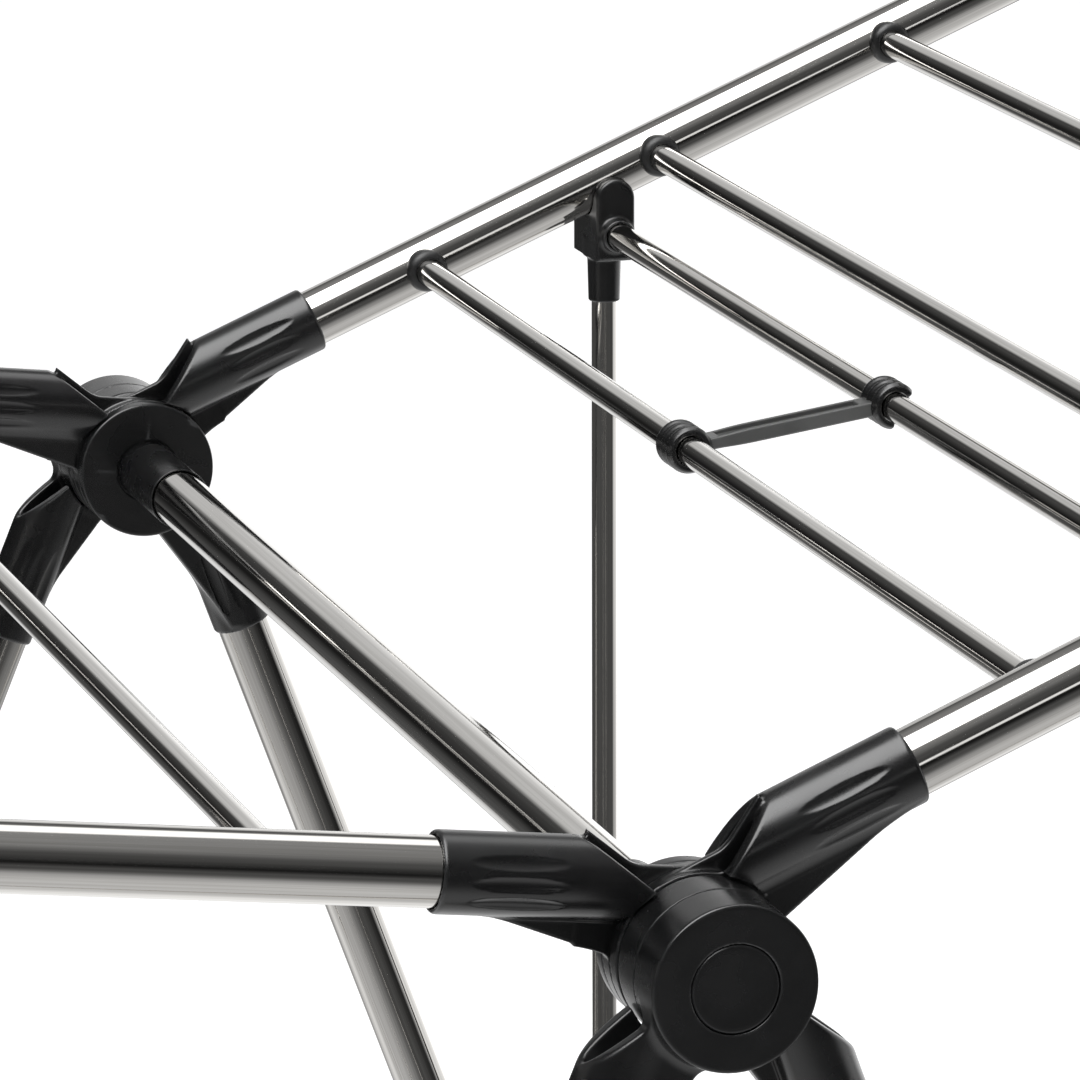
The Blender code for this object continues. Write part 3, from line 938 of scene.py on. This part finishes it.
@dataclass
class Link:
    """A channelled strip between a ribbed ring and a ribbed open clip.

    Coordinates: x from the ring's axis towards the clip, y along the rods, z to the bar's upper side.
    """

    length: float
    hole: float = 4.95
    outside: float = 7.3
    half: float = 7.5
    rib: float = 0.40
    rib_pitch: float = 2.5
    opening: float = -38.0
    opening_half: float = 62.0
    strip_half: float = 4.6
    strip_thick: float = 2.35
    channel_half: float = 2.9
    channel_floor: float = 0.85
    channel_inset: float = 11.0

    def shape(self, point: np.ndarray) -> np.ndarray:
        """The field of the ring and the clip. Arguments and result as for SocketArm.shape."""
        x, y, z = point[..., 0], point[..., 1], point[..., 2]
        ribs = self.rib * np.cos(np.clip(y, -7.0, 7.0) * math.pi / self.rib_pitch)
        at_ring, at_clip = np.hypot(x, z), np.hypot(x - self.length, z)
        ring = soft_max(at_ring - self.outside - ribs, np.abs(y) - self.half, 1.0)
        clip = soft_max(at_clip - self.outside - ribs, np.abs(y) - self.half, 1.0)
        angle = np.arctan2(z, x - self.length) - math.radians(self.opening)
        turn = np.abs(np.arctan2(np.sin(angle), np.cos(angle)))
        gap = at_clip * np.sin(np.clip(turn - math.radians(self.opening_half), -1.2, 1.2))
        clip = soft_max(clip, -gap, 1.5)
        return np.minimum(soft_max(ring, self.hole - at_ring, 0.5), soft_max(clip, self.hole - at_clip, 0.5))

    def strip(self, point: np.ndarray) -> np.ndarray:
        """The field of the channelled strip between the ring and the clip."""
        x, y, z = point[..., 0], point[..., 1], point[..., 2]
        thick = self.strip_thick - 0.45 * np.exp(-((x - 9.0) / 7.0) ** 2)
        clear = self.outside - 0.5
        bar = soft_max(np.abs(y) - self.strip_half, np.abs(z) - thick, 0.8)
        bar = np.maximum(bar, np.maximum(clear - np.hypot(x, z), clear - np.hypot(x - self.length, z)))
        bar = np.maximum(bar, band(x, 2.0, self.length - 2.0))
        run = band(x, self.channel_inset, self.length - self.channel_inset)
        for face in (-1, 1):
            channel = np.maximum(self.channel_floor - face * z, run)
            bar = soft_max(bar, -np.maximum(np.abs(y) - self.channel_half, channel), 0.5)
        return bar

    def skins(self) -> tuple[Skin, Skin]:
        """The skin of the ring and clip, and that of the strip."""
        reach, side = self.outside + 1.6, self.half + 1.2
        ends = Skin.of(self.shape, (-reach, -side, -reach), (self.length + reach, side, reach), 0.45)
        strip = Skin.of(self.strip, (4.0, -5.8, -3.6), (self.length - 4.0, 5.8, 3.6), 0.4)
        return ends, strip


@dataclass
class Elbow:
    """A wing's corner: a ball with a sleeve on the rail and a sleeve on the end bar.

    Coordinates: s along the rail with the corner at 0, t outward along the bar, n up.
    """

    ball: float = 12.8
    sleeve: float = 11.6
    bore: float = 10.2
    bore_stop: float = 14.6
    length: float = 36.0
    lip: float = 0.45
    lip_length: float = 4.0

    def shape(self, point: np.ndarray) -> np.ndarray:
        """The corner's field. Arguments and result as for SocketArm.shape."""
        s, t, n = point[..., 0], point[..., 1], point[..., 2]
        body = np.sqrt(s * s + t * t + n * n) - self.ball
        runs = ((np.hypot(t, n), s), (np.hypot(s, n), t))
        for across, run in runs:
            body = soft_min(body, soft_max(across - self.sleeve, band(run, -self.length, 0), 1.4), 4.0)
        for across, run in runs:
            edge = band(run, -self.length, self.lip_length - self.length)
            body = soft_min(body, soft_max(across - self.sleeve - self.lip, edge, 0.8), 0.8)
        for across, run in runs:
            body = soft_max(body, -np.maximum(across - self.bore, run + self.bore_stop), 0.5)
        return body

    def skin(self) -> Skin:
        """The corner's skin."""
        far, near = self.ball + 1.6, -self.length - 1.5
        return Skin.of(self.shape, (near, near, -far), (far, far, far), 0.7)


@dataclass
class Foot:
    """A rubber cap on a leg, with two grip grooves, cut level with the floor.

    Coordinates: s along the leg from the hub axis, t outward, n to the leg's upper side.
    """

    offset: float
    height: float
    lean: float
    top: float = 992.0
    end: float = 1022.0
    radius: float = 13.0
    bore: float = 9.7
    groove: float = 0.55
    groove_half: float = 1.1
    grooves: tuple[float, ...] = (8.0, 12.5)

    def shape(self, point: np.ndarray) -> np.ndarray:
        """The cap's field. Arguments and result as for SocketArm.shape."""
        s, t, n = point[..., 0], point[..., 1], point[..., 2]
        across = np.hypot(t, n - self.offset)
        down = s - self.top
        cut = sum(self.groove * np.exp(-(((down - at) / self.groove_half) ** 2)) for at in self.grooves)
        body = soft_max(across - self.radius + cut, self.top - s, 2.0)
        drop = s * math.cos(self.lean) - n * math.sin(self.lean)
        body = soft_max(body, drop - self.height, 1.6)
        return soft_max(body, -np.maximum(across - self.bore, s - self.end - 0.3), 0.8)

    def skin(self) -> Skin:
        """The cap's skin."""
        reach = self.radius + 1.6
        return Skin.of(self.shape, (self.top - 1.6, -reach, self.offset - reach),
                       (self.height / math.cos(self.lean) + 14.0, reach, self.offset + reach), 0.7)


@dataclass
class Grommet:
    """The collar where a rod meets a rail: a round flange whose back hugs the rail.

    Coordinates: s along the rail from the rod, u inward along the rod from the rail's axis, n up.
    """

    rail: float = 10.1
    rod: float = 4.76
    radius: float = 7.5
    back: float = 3.4
    reach: float = 13.4
    dome: float = 4.0

    def shape(self, point: np.ndarray) -> np.ndarray:
        """The collar's field. Arguments and result as for SocketArm.shape."""
        s, u, n = point[..., 0], point[..., 1], point[..., 2]
        away = np.hypot(s, n)
        body = soft_max(away - self.radius, u - self.reach, self.dome)
        body = soft_max(body, self.back - u, 1.0)
        body = soft_max(body, self.rail - np.hypot(u, n), 0.5)
        return soft_max(body, self.rod - away, 0.15)

    def skin(self) -> Skin:
        """The collar's skin."""
        return Skin.of(self.shape, (-9.6, 2.2, -9.6), (9.6, 18.0, 9.6), 0.4)


@dataclass
class StrutEye:
    """The flattened foot of a strut, with the hole for its pin.

    Coordinates: x across, t outward, z up the strut from the pin.
    """

    radius: float = 7.2
    half: float = 3.5
    hole: float = 3.2
    tube: float = 4.5
    shank: Span = (4.0, 24.0)

    def shape(self, point: np.ndarray) -> np.ndarray:
        """The eye's field. Arguments and result as for SocketArm.shape."""
        x, t, z = point[..., 0], point[..., 1], point[..., 2]
        eye = soft_max(np.hypot(x, z) - self.radius, np.abs(t) - self.half, 1.2)
        shank = soft_max(np.hypot(x, t) - self.tube, band(z, *self.shank), 0.6)
        body = soft_min(eye, shank, 5.0)
        body = soft_max(body, np.abs(t) - self.tube, 0.5)
        return soft_max(body, self.hole - np.hypot(x, z), 0.4)

    def skin(self) -> Skin:
        """The eye's skin."""
        return Skin.of(self.shape, (-9.0, -6.0, -9.0), (9.0, 6.0, 25.5), 0.45)


# ---------------------------------------------------------------- sub-assemblies

# Spans along the hub's journal, out from the middle of the rack: the rings that turn on it, the plates under
# the leg sleeves and the gussets over the wing sleeves.
LEG_RING = {Side.RIGHT: (317.3, 332.2), Side.LEFT: (332.5, 349.0)}
LEG_WEB = {Side.RIGHT: (323.5, 332.2), Side.LEFT: (332.5, 342.5)}
WING_RING = {Side.RIGHT: (310.5, 316.7), Side.LEFT: (303.8, 310.2)}
WING_GUSSET = {Side.RIGHT: (310.5, 313.1), Side.LEFT: (307.2, 309.9)}
LINK_ROD = {Side.RIGHT: 1, Side.LEFT: 3}
TUBE_START = 36.5


@dataclass
class Hubs:
    """The two hub cores with their caps, and the tube that joins them."""

    shop: Shop
    outer: float = 349.0
    depth: float = 51.0
    disc: float = 23.8
    flange: float = 5.5
    journal: float = 12.5
    collar: float = 10.3
    collar_length: float = 45.0
    collar_bore: float = 9.75
    bore_depth: float = 12.0
    recess: float = 4.5
    tube_radius: float = 9.5
    facets: int = 96

    def core_profile(self) -> Profile:
        """The core's outline: the bored collar, a groove, the flange, the journal and the cap's recess."""
        inner, floor = self.outer - self.depth, self.outer - self.recess
        mouth = inner - self.collar_length
        stop, groove, lip = mouth + self.bore_depth, inner + 1.3, self.collar + 0.7
        return eased([(0, stop), (self.collar_bore, stop), (self.collar_bore, mouth), (self.collar, mouth),
                      (self.collar, groove), (lip, groove), (lip, inner), (self.disc - 2.0, inner),
                      (self.disc, inner), (self.disc, inner + self.flange),
                      (self.journal, inner + self.flange), (self.journal, floor), (0, floor)], 0.9)

    def cap_profile(self) -> Profile:
        """The cap's outline: a shallow disc just under the leg ring's face."""
        radius, low, high = self.journal + 0.1, self.outer - self.recess + 0.3, self.outer - 0.3
        return eased([(0, low), (radius, low), (radius, high), (self.journal - 3.0, high), (0, high)], 0.9)

    def build(self) -> None:
        """Builds both hubs and the centre tube."""
        axis = hub_axis()
        for end in End:
            core = turned(f"hub_{end.word}", self.core_profile(), axis, outward(end), self.facets)
            self.shop.add(core, Finish.BLACK, "root", [f"hub_core_{end.word}"])
            cap = turned(f"hub_cap_{end.word}", self.cap_profile(), axis, outward(end), self.facets)
            self.shop.add(cap, Finish.BLACK, "root", [f"hub_plug_{end.word}"])
        mouth = self.outer - self.depth - self.collar_length
        reach = Vector((0, (mouth + self.bore_depth - 0.5) * MM, 0))
        bar = tube("centre_bar", axis - reach, axis + reach, self.tube_radius)
        self.shop.add(bar, Finish.STEEL, "root", ["centre_tube"])


@dataclass
class LegFrame:
    """One side's two legs with their arms, feet, lower bar and support pins."""

    shop: Shop
    side: Side
    plane: float = 333.0
    offset: float = 17.6
    leg_radius: float = 9.5
    leg_end: float = 1021.5
    bar_radius: float = 7.5
    sleeve: float = 10.7
    sleeve_bore: float = 9.8

    @property
    def body(self) -> str:
        """The CAD body that this frame is part of."""
        return "root" if self.side is Side.RIGHT else "left_legs"

    def frame(self) -> Plane2:
        """The legs' frame: out and down along them from the hub axis."""
        pin, bar = centre(f"support_pin_{self.side.word}_near"), centre(f"lower_bar_{self.side.word}")
        return Plane2.through(pin, bar, Vector((self.side.value, 0, 0))).moved(hub_axis())

    def arm(self) -> SocketArm:
        """The hub arm, with a rounder edge on the face that shows."""
        inner, outer = (2.2, 0.5) if self.side is Side.RIGHT else (0.5, 1.3)
        return SocketArm(self.plane, self.offset, self.sleeve, self.sleeve_bore, LEG_RING[self.side],
                         LEG_WEB[self.side], inner_edge=inner, outer_edge=outer, flow=4.0)

    @staticmethod
    def pin_profile() -> Profile:
        """The support pin's outline, out from the rack's middle: head, waist in the strut's eye, collar."""
        head, waist, collar = 6.0, 3.0, 6.2
        return eased([(0, 303.4), (head, 303.4), (head, 306.0), (waist, 306.0), (waist, 313.9),
                      (collar, 313.9), (collar, 323.2), (0, 323.2)], 0.7, 4)

    def build(self) -> None:
        """Builds the leg frame."""
        place, word = self.frame(), self.side.word
        arm = self.arm().skin()
        foot = Foot(self.offset, place.origin.z / MM, math.acos(-place.along.z)).skin()
        pin_at = place.reach_of(f"support_pin_{word}_near")
        for end in End:
            tag, y = f"{word}_{end.word}", end.value * self.plane
            origin, axes = place.at(0, y, 0), place.axes(end)
            socket = arm.place(f"leg_socket_{tag}", origin, axes)
            self.shop.add(socket, Finish.BLACK, self.body, [f"leg_arm_{tag}"])
            start, finish = (place.at(s, y, self.offset) for s in (TUBE_START, self.leg_end))
            leg = tube(f"leg_tube_{tag}", start, finish, self.leg_radius)
            self.shop.add(leg, Finish.STEEL, self.body, [f"leg_{tag}"])
            cap = foot.place(f"foot_cap_{tag}", origin, axes)
            self.shop.add(cap, Finish.RUBBER, self.body, [f"foot_{tag}"])
            pin = turned(f"pin_{tag}", self.pin_profile(), place.at(pin_at, 0, self.offset), outward(end), 48)
            self.shop.add(pin, Finish.STEEL, self.body, [f"support_pin_{tag}"])
        along, reach = place.reach_of(f"lower_bar_{word}"), self.plane - self.leg_radius - 0.2
        start, finish = (place.at(along, y, self.offset) for y in (-reach, reach))
        bar = tube(f"foot_bar_{word}", start, finish, self.bar_radius)
        self.shop.add(bar, Finish.STEEL, self.body, [f"lower_bar_{word}"])


@dataclass
class Wing:
    """One side's rails, rods, grommets, end bar and corners, with its two hub arms."""

    shop: Shop
    side: Side
    plane: float = 310.0
    offset: float = 19.7
    rail_radius: float = 10.0
    rod_radius: float = 4.75
    rods: int = 5
    sleeve: float = 11.6
    sleeve_bore: float = 10.25
    corner_depth: float = 15.0

    @property
    def body(self) -> str:
        """The CAD body that this wing is."""
        return f"{self.side.word}_wing"

    def frame(self) -> Plane2:
        """The wing's frame: out along its rails from the hub axis."""
        first, last = (centre(f"rod_{self.side.word}_{i}") for i in (1, self.rods))
        return Plane2.through(first, last, Vector((0, 0, 1))).moved(hub_axis())

    def build(self) -> None:
        """Builds the wing."""
        place, word = self.frame(), self.side.word
        ring = WING_RING[self.side]
        arm = SocketArm(self.plane, self.offset, self.sleeve, self.sleeve_bore, ring, ring,
                        saddle=WING_GUSSET[self.side]).skin()
        corner, collar = Elbow().skin(), Grommet().skin()
        tip = place.reach_of(f"end_bar_{word}")
        stations = {number: place.reach_of(f"rod_{word}_{number}") for number in range(1, self.rods + 1)}
        for end in End:
            tag, y = f"{word}_{end.word}", end.value * self.plane
            socket = arm.place(f"wing_socket_{tag}", place.at(0, y, 0), place.axes(end))
            self.shop.add(socket, Finish.BLACK, self.body, [f"wing_arm_{tag}"])
            start, finish = (place.at(s, y, self.offset) for s in (TUBE_START, tip - self.corner_depth))
            rail = tube(f"rail_{tag}", start, finish, self.rail_radius)
            self.shop.add(rail, Finish.STEEL, self.body, [f"wing_rail_{tag}"])
            elbow = corner.place(f"corner_{tag}", place.at(tip, y, self.offset), place.axes(end))
            self.shop.add(elbow, Finish.BLACK, self.body, [f"elbow_{tag}"])
            inward = (place.along, -outward(end), place.upper)
            for number, station in stations.items():
                made = collar.place(f"grommet_{tag}_{number}", place.at(station, y, self.offset), inward)
                self.shop.add(made, Finish.GROMMET, self.body)
        reach = self.plane - self.rail_radius - 0.4
        for number, station in stations.items():
            start, finish = (place.at(station, y, self.offset) for y in (-reach, reach))
            rod = tube(f"hanging_rod_{word}_{number}", start, finish, self.rod_radius)
            self.shop.add(rod, Finish.STEEL, self.body, [f"rod_{word}_{number}"])
        reach = self.plane - self.corner_depth
        start, finish = (place.at(tip, y, self.offset) for y in (-reach, reach))
        bar = tube(f"outer_bar_{word}", start, finish, self.rail_radius)
        self.shop.add(bar, Finish.STEEL, self.body, [f"end_bar_{word}"])


@dataclass
class Support:
    """One side's two struts with their forks and the crossbar, and the link that holds the wing up."""

    shop: Shop
    side: Side
    plane: float = 310.0
    strut_radius: float = 4.5
    strut_ends: Span = (23.4, 10.2)
    bar_radius: float = 4.75
    bar_inset: float = 6.6
    link_y: float = 10.0

    @property
    def body(self) -> str:
        """The CAD body that the support is."""
        return f"{self.side.word}_support"

    def build(self) -> None:
        """Builds the support and its link."""
        word, sign = self.side.word, self.side.value
        pin, bar = centre(f"support_pin_{word}_near"), centre(f"crossbar_{word}")
        rise = Vector((bar.x - pin.x, 0, bar.z - pin.z))
        length, up = rise.length / MM, rise.normalized()
        across = sign * Vector((up.z, 0, -up.x))
        first, last = centre(f"rod_{word}_1"), centre(f"rod_{word}_5")
        rail = Vector((last.x - first.x, 0, last.z - first.z)).normalized()
        tilt = math.atan2(rail.dot(up), rail.dot(across))
        foot = Vector((pin.x, 0, pin.z))
        fork, eye = Fork(tilt).skin(), StrutEye().skin()
        above_eye, below_bar = self.strut_ends
        for end in End:
            tag, out = f"{word}_{end.word}", outward(end)
            low = foot + out * self.plane * MM
            axes = (across, out, up)
            self.shop.add(eye.place(f"strut_eye_{tag}", low, axes), Finish.STEEL, self.body)
            start, finish = (low + up * height * MM for height in (above_eye, length - below_bar))
            strut = tube(f"strut_tube_{tag}", start, finish, self.strut_radius)
            self.shop.add(strut, Finish.STEEL, self.body, [f"strut_{tag}"])
            cradle = fork.place(f"cradle_{tag}", low + up * length * MM, axes)
            self.shop.add(cradle, Finish.BLACK, self.body, [f"fork_{tag}"])
        middle = foot + up * length * MM
        reach = Vector((0, (self.plane - self.bar_inset) * MM, 0))
        crossbar = tube(f"cross_bar_{word}", middle - reach, middle + reach, self.bar_radius)
        self.shop.add(crossbar, Finish.STEEL, self.body, [f"crossbar_{word}"])
        self.build_link(middle)

    def build_link(self, middle: Vector) -> None:
        """Builds the link from its rod to the crossbar.

        Args:
            middle: the middle of the crossbar.
        """
        word, sign = self.side.word, self.side.value
        rod = centre(f"rod_{word}_{LINK_ROD[self.side]}")
        start = Vector((rod.x, sign * self.link_y * MM, rod.z))
        run = Vector((middle.x - rod.x, 0, middle.z - rod.z))
        along = run.normalized()
        axes = (along, Vector((0, sign, 0)), sign * Vector((-along.z, 0, along.x)))
        ends, strip = Link(run.length / MM).skins()
        bar = strip.place(f"link_bar_{word}", start, axes)
        self.shop.add(bar, Finish.GRAPHITE, f"{word}_link", [f"link_{word}"])
        self.shop.add(ends.place(f"link_clips_{word}", start, axes), Finish.BLACK, f"{word}_link")


# ---------------------------------------------------------------- studio

@dataclass
class Room:
    """What surrounds the rack: plain white to the eye, and to the polished steel a dark room with openings.

    x, y and z are the parts of the direction that is looked in, from the rack.
    """

    plain: float = 1.0
    diffuse: float = 0.50
    dark: float = 0.012
    window_light: float = 0.64
    aside_light: float = 1.0
    softbox_light: Span = (1.4, 4.8)
    glint_light: float = 1.1
    ceiling_light: Span = (0.07, 0.20)
    floor_light: Span = (0.07, 0.58)
    floor_far_light: float = 0.5
    beyond_light: float = 0.75

    def build(self) -> None:
        """Makes the world and sets what each kind of ray sees."""
        world = bpy.data.worlds.new("studio")
        world.use_nodes = True
        bpy.context.scene.world = world
        world.node_tree.nodes.clear()
        graph = Graph(world.node_tree)
        towards = graph.add("SeparateXYZ", {"Vector": graph.add("TexCoord").outputs["Generated"]})
        place = tuple(towards.outputs[i] for i in range(3))
        openings = graph.maths("MAXIMUM", graph.total(self.window(graph, *place), self.aside(graph, *place)),
                               graph.total(self.ceiling(graph, place[2]), self.softbox(graph, *place)))
        glossy = graph.total(openings, self.glint(graph, *place), self.ground(graph, *place[1:]),
                             self.beyond(graph, *place), self.dark)
        paths = graph.add("LightPath").outputs
        strength = graph.total(graph.product(paths["Is Diffuse Ray"], self.diffuse),
                               graph.product(paths["Is Camera Ray"], self.plain),
                               graph.product(paths["Is Glossy Ray"], glossy))
        backdrop = graph.add("Background", {"Color": (1, 1, 1, 1), "Strength": strength})
        output = graph.add("OutputWorld", {"Surface": backdrop.outputs[0]})
        output.is_active_output = True

    def window(self, graph: Graph, x: Socket, y: Socket, z: Socket) -> Socket:
        """A window behind the rack, with a slanting sill."""
        level = graph.total(z, graph.product(x, 0.6))
        return graph.product(graph.ramp(y, 0.25, 0.55), graph.ramp(x, -0.23, -0.08),
                             graph.ramp(z, 0.54, 0.40), graph.ramp(level, -0.10, 0.06, 0.0, self.window_light))

    def aside(self, graph: Graph, x: Socket, y: Socket, z: Socket) -> Socket:
        """A tall opening on the right."""
        right = graph.total(x, graph.product(y, 0.5))
        return graph.product(graph.ramp(right, 0.60, 0.98, 0.0, self.aside_light), graph.ramp(z, 0.42, 0.30),
                             graph.ramp(z, -0.34, -0.16))

    def softbox(self, graph: Graph, x: Socket, y: Socket, z: Socket) -> Socket:
        """A strong box light overhead, brighter towards the left."""
        skew = graph.total(graph.maths("ABSOLUTE", graph.total(y, graph.product(x, -1.0), -0.05)),
                           graph.product(x, 0.45), 0.09)
        weak, strong = self.softbox_light
        return graph.product(graph.ramp(skew, 0.52, 0.41), graph.ramp(z, 0.55, 0.70),
                             graph.ramp(x, 0.30, -0.10, weak, strong))

    def glint(self, graph: Graph, x: Socket, y: Socket, z: Socket) -> Socket:
        """A small bright patch in front."""
        return graph.product(graph.ramp(graph.maths("ABSOLUTE", graph.total(z, -0.15)), 0.08, 0.03),
                             graph.ramp(graph.maths("ABSOLUTE", graph.total(x, -0.14)), 0.10, 0.05),
                             graph.ramp(y, -0.5, -0.8), self.glint_light)

    def ceiling(self, graph: Graph, z: Socket) -> Socket:
        """A dim ceiling that brightens towards its middle."""
        low, high = self.ceiling_light
        return graph.total(graph.ramp(z, -0.05, 0.45, 0.0, low), graph.ramp(z, 0.45, 0.85, 0.0, high))

    def ground(self, graph: Graph, y: Socket, z: Socket) -> Socket:
        """The floor, brighter straight below and on the far side."""
        rim, middle = self.floor_light
        return graph.total(graph.ramp(z, -0.30, -0.80, 0.0, middle), graph.ramp(z, 0.0, -0.25, 0.0, rim),
                           graph.product(graph.ramp(y, 0.0, 0.6), graph.ramp(z, -0.45, -0.65),
                                         self.floor_far_light))

    def beyond(self, graph: Graph, x: Socket, y: Socket, z: Socket) -> Socket:
        """A bright strip low down behind the rack."""
        return graph.product(graph.ramp(x, -0.24, 0.0), graph.ramp(z, -0.25, -0.34),
                             graph.ramp(y, 0.70, 0.88), self.beyond_light)


@dataclass
class Lamp:
    """A soft square light that faces the rack."""

    place: tuple[float, float, float]
    size: float
    watts: float

    def build(self, name: str) -> None:
        """Makes the light under a name."""
        light = bpy.data.lights.new(name, "AREA")
        light.shape, light.size, light.energy = "SQUARE", self.size, self.watts
        holder = bpy.data.objects.new(name, light)
        holder.location = self.place
        aim = Vector((0, 0, 0.85)) - Vector(self.place)
        holder.rotation_mode = "QUATERNION"
        holder.rotation_quaternion = aim.to_track_quat("-Z", "Y")
        holder.visible_glossy = False
        bpy.context.scene.collection.objects.link(holder)


@dataclass
class Studio:
    """A pale floor, the room, soft lights, and a camera low above one corner with a long lens."""

    camera_at: tuple[float, float, float] = (-0.60069, -2.16899, 1.54894)
    heading: float = 17.3803
    tilt: float = -13.3089
    roll: float = 1.0906
    lens: float = 247.83
    floor_size: float = 60.0
    floor_glow: float = 0.60
    lamps: tuple[Lamp, ...] = (Lamp((-1.6, -1.2, 2.6), 1.6, 38.0), Lamp((2.2, 0.6, 2.4), 1.4, 26.0),
                               Lamp((0.2, 2.4, 2.2), 1.8, 30.0))

    def build(self) -> None:
        """Builds the floor, room, lights and camera."""
        self.floor()
        Room().build()
        for number, lamp in enumerate(self.lamps, 1):
            lamp.build(f"softbox_{number}")
        self.camera()
        bpy.context.scene.view_settings.view_transform = "Standard"

    def floor(self) -> None:
        """A wide pale floor."""
        half = self.floor_size / 2
        corners = [(-half, -half, 0), (half, -half, 0), (half, half, 0), (-half, half, 0)]
        mesh = bpy.data.meshes.new("studio_floor")
        mesh.from_pydata(corners, [], [(0, 1, 2, 3)])
        floor = bpy.data.objects.new("studio_floor", mesh)
        floor.location.z = -0.0005
        floor.visible_glossy = False
        bpy.context.scene.collection.objects.link(floor)
        made, graph, shader = blank("pale floor")
        place = graph.add("TexCoord").outputs["Object"]
        noise = graph.add("TexNoise", {"Vector": place, "Scale": 1.2, "Detail": 3.0})
        cloud = graph.ramp(noise.outputs[0], 0.3, 0.7)
        colour = graph.blend(cloud, (0.86, 0.86, 0.86, 1), (0.88, 0.88, 0.88, 1))
        graph.join(colour, shader.inputs["Base Color"])
        shader.inputs["Roughness"].default_value = 0.9
        shader.inputs["Specular IOR Level"].default_value = 0.1
        shader.inputs["Emission Color"].default_value = (1, 1, 1, 1)
        shader.inputs["Emission Strength"].default_value = self.floor_glow
        mesh.materials.append(made)

    def camera(self) -> None:
        """The camera, turned by its heading from the far side, its tilt and its roll, in degrees."""
        data = bpy.data.cameras.new("camera")
        data.lens, data.sensor_width = self.lens, 36.0
        data.clip_end = 100.0
        camera = bpy.data.objects.new("camera", data)
        aim = Euler((math.radians(90 + self.tilt), 0, math.radians(-self.heading))).to_matrix()
        turn = aim @ Matrix.Rotation(math.radians(self.roll), 3, "Z")
        camera.matrix_world = Matrix.Translation(self.camera_at) @ turn.to_4x4()
        bpy.context.scene.collection.objects.link(camera)
        bpy.context.scene.camera = camera


def main() -> None:
    """Builds the rack's looks in order."""
    logging.basicConfig(level=logging.INFO, format="%(message)s")
    shop = Shop()
    Studio().build()
    Hubs(shop).build()
    for part in (LegFrame, Wing, Support):
        for side in Side:
            part(shop, side).build()
    log.info("%d pieces", shop.count)


if __name__ == "__main__":
    main()
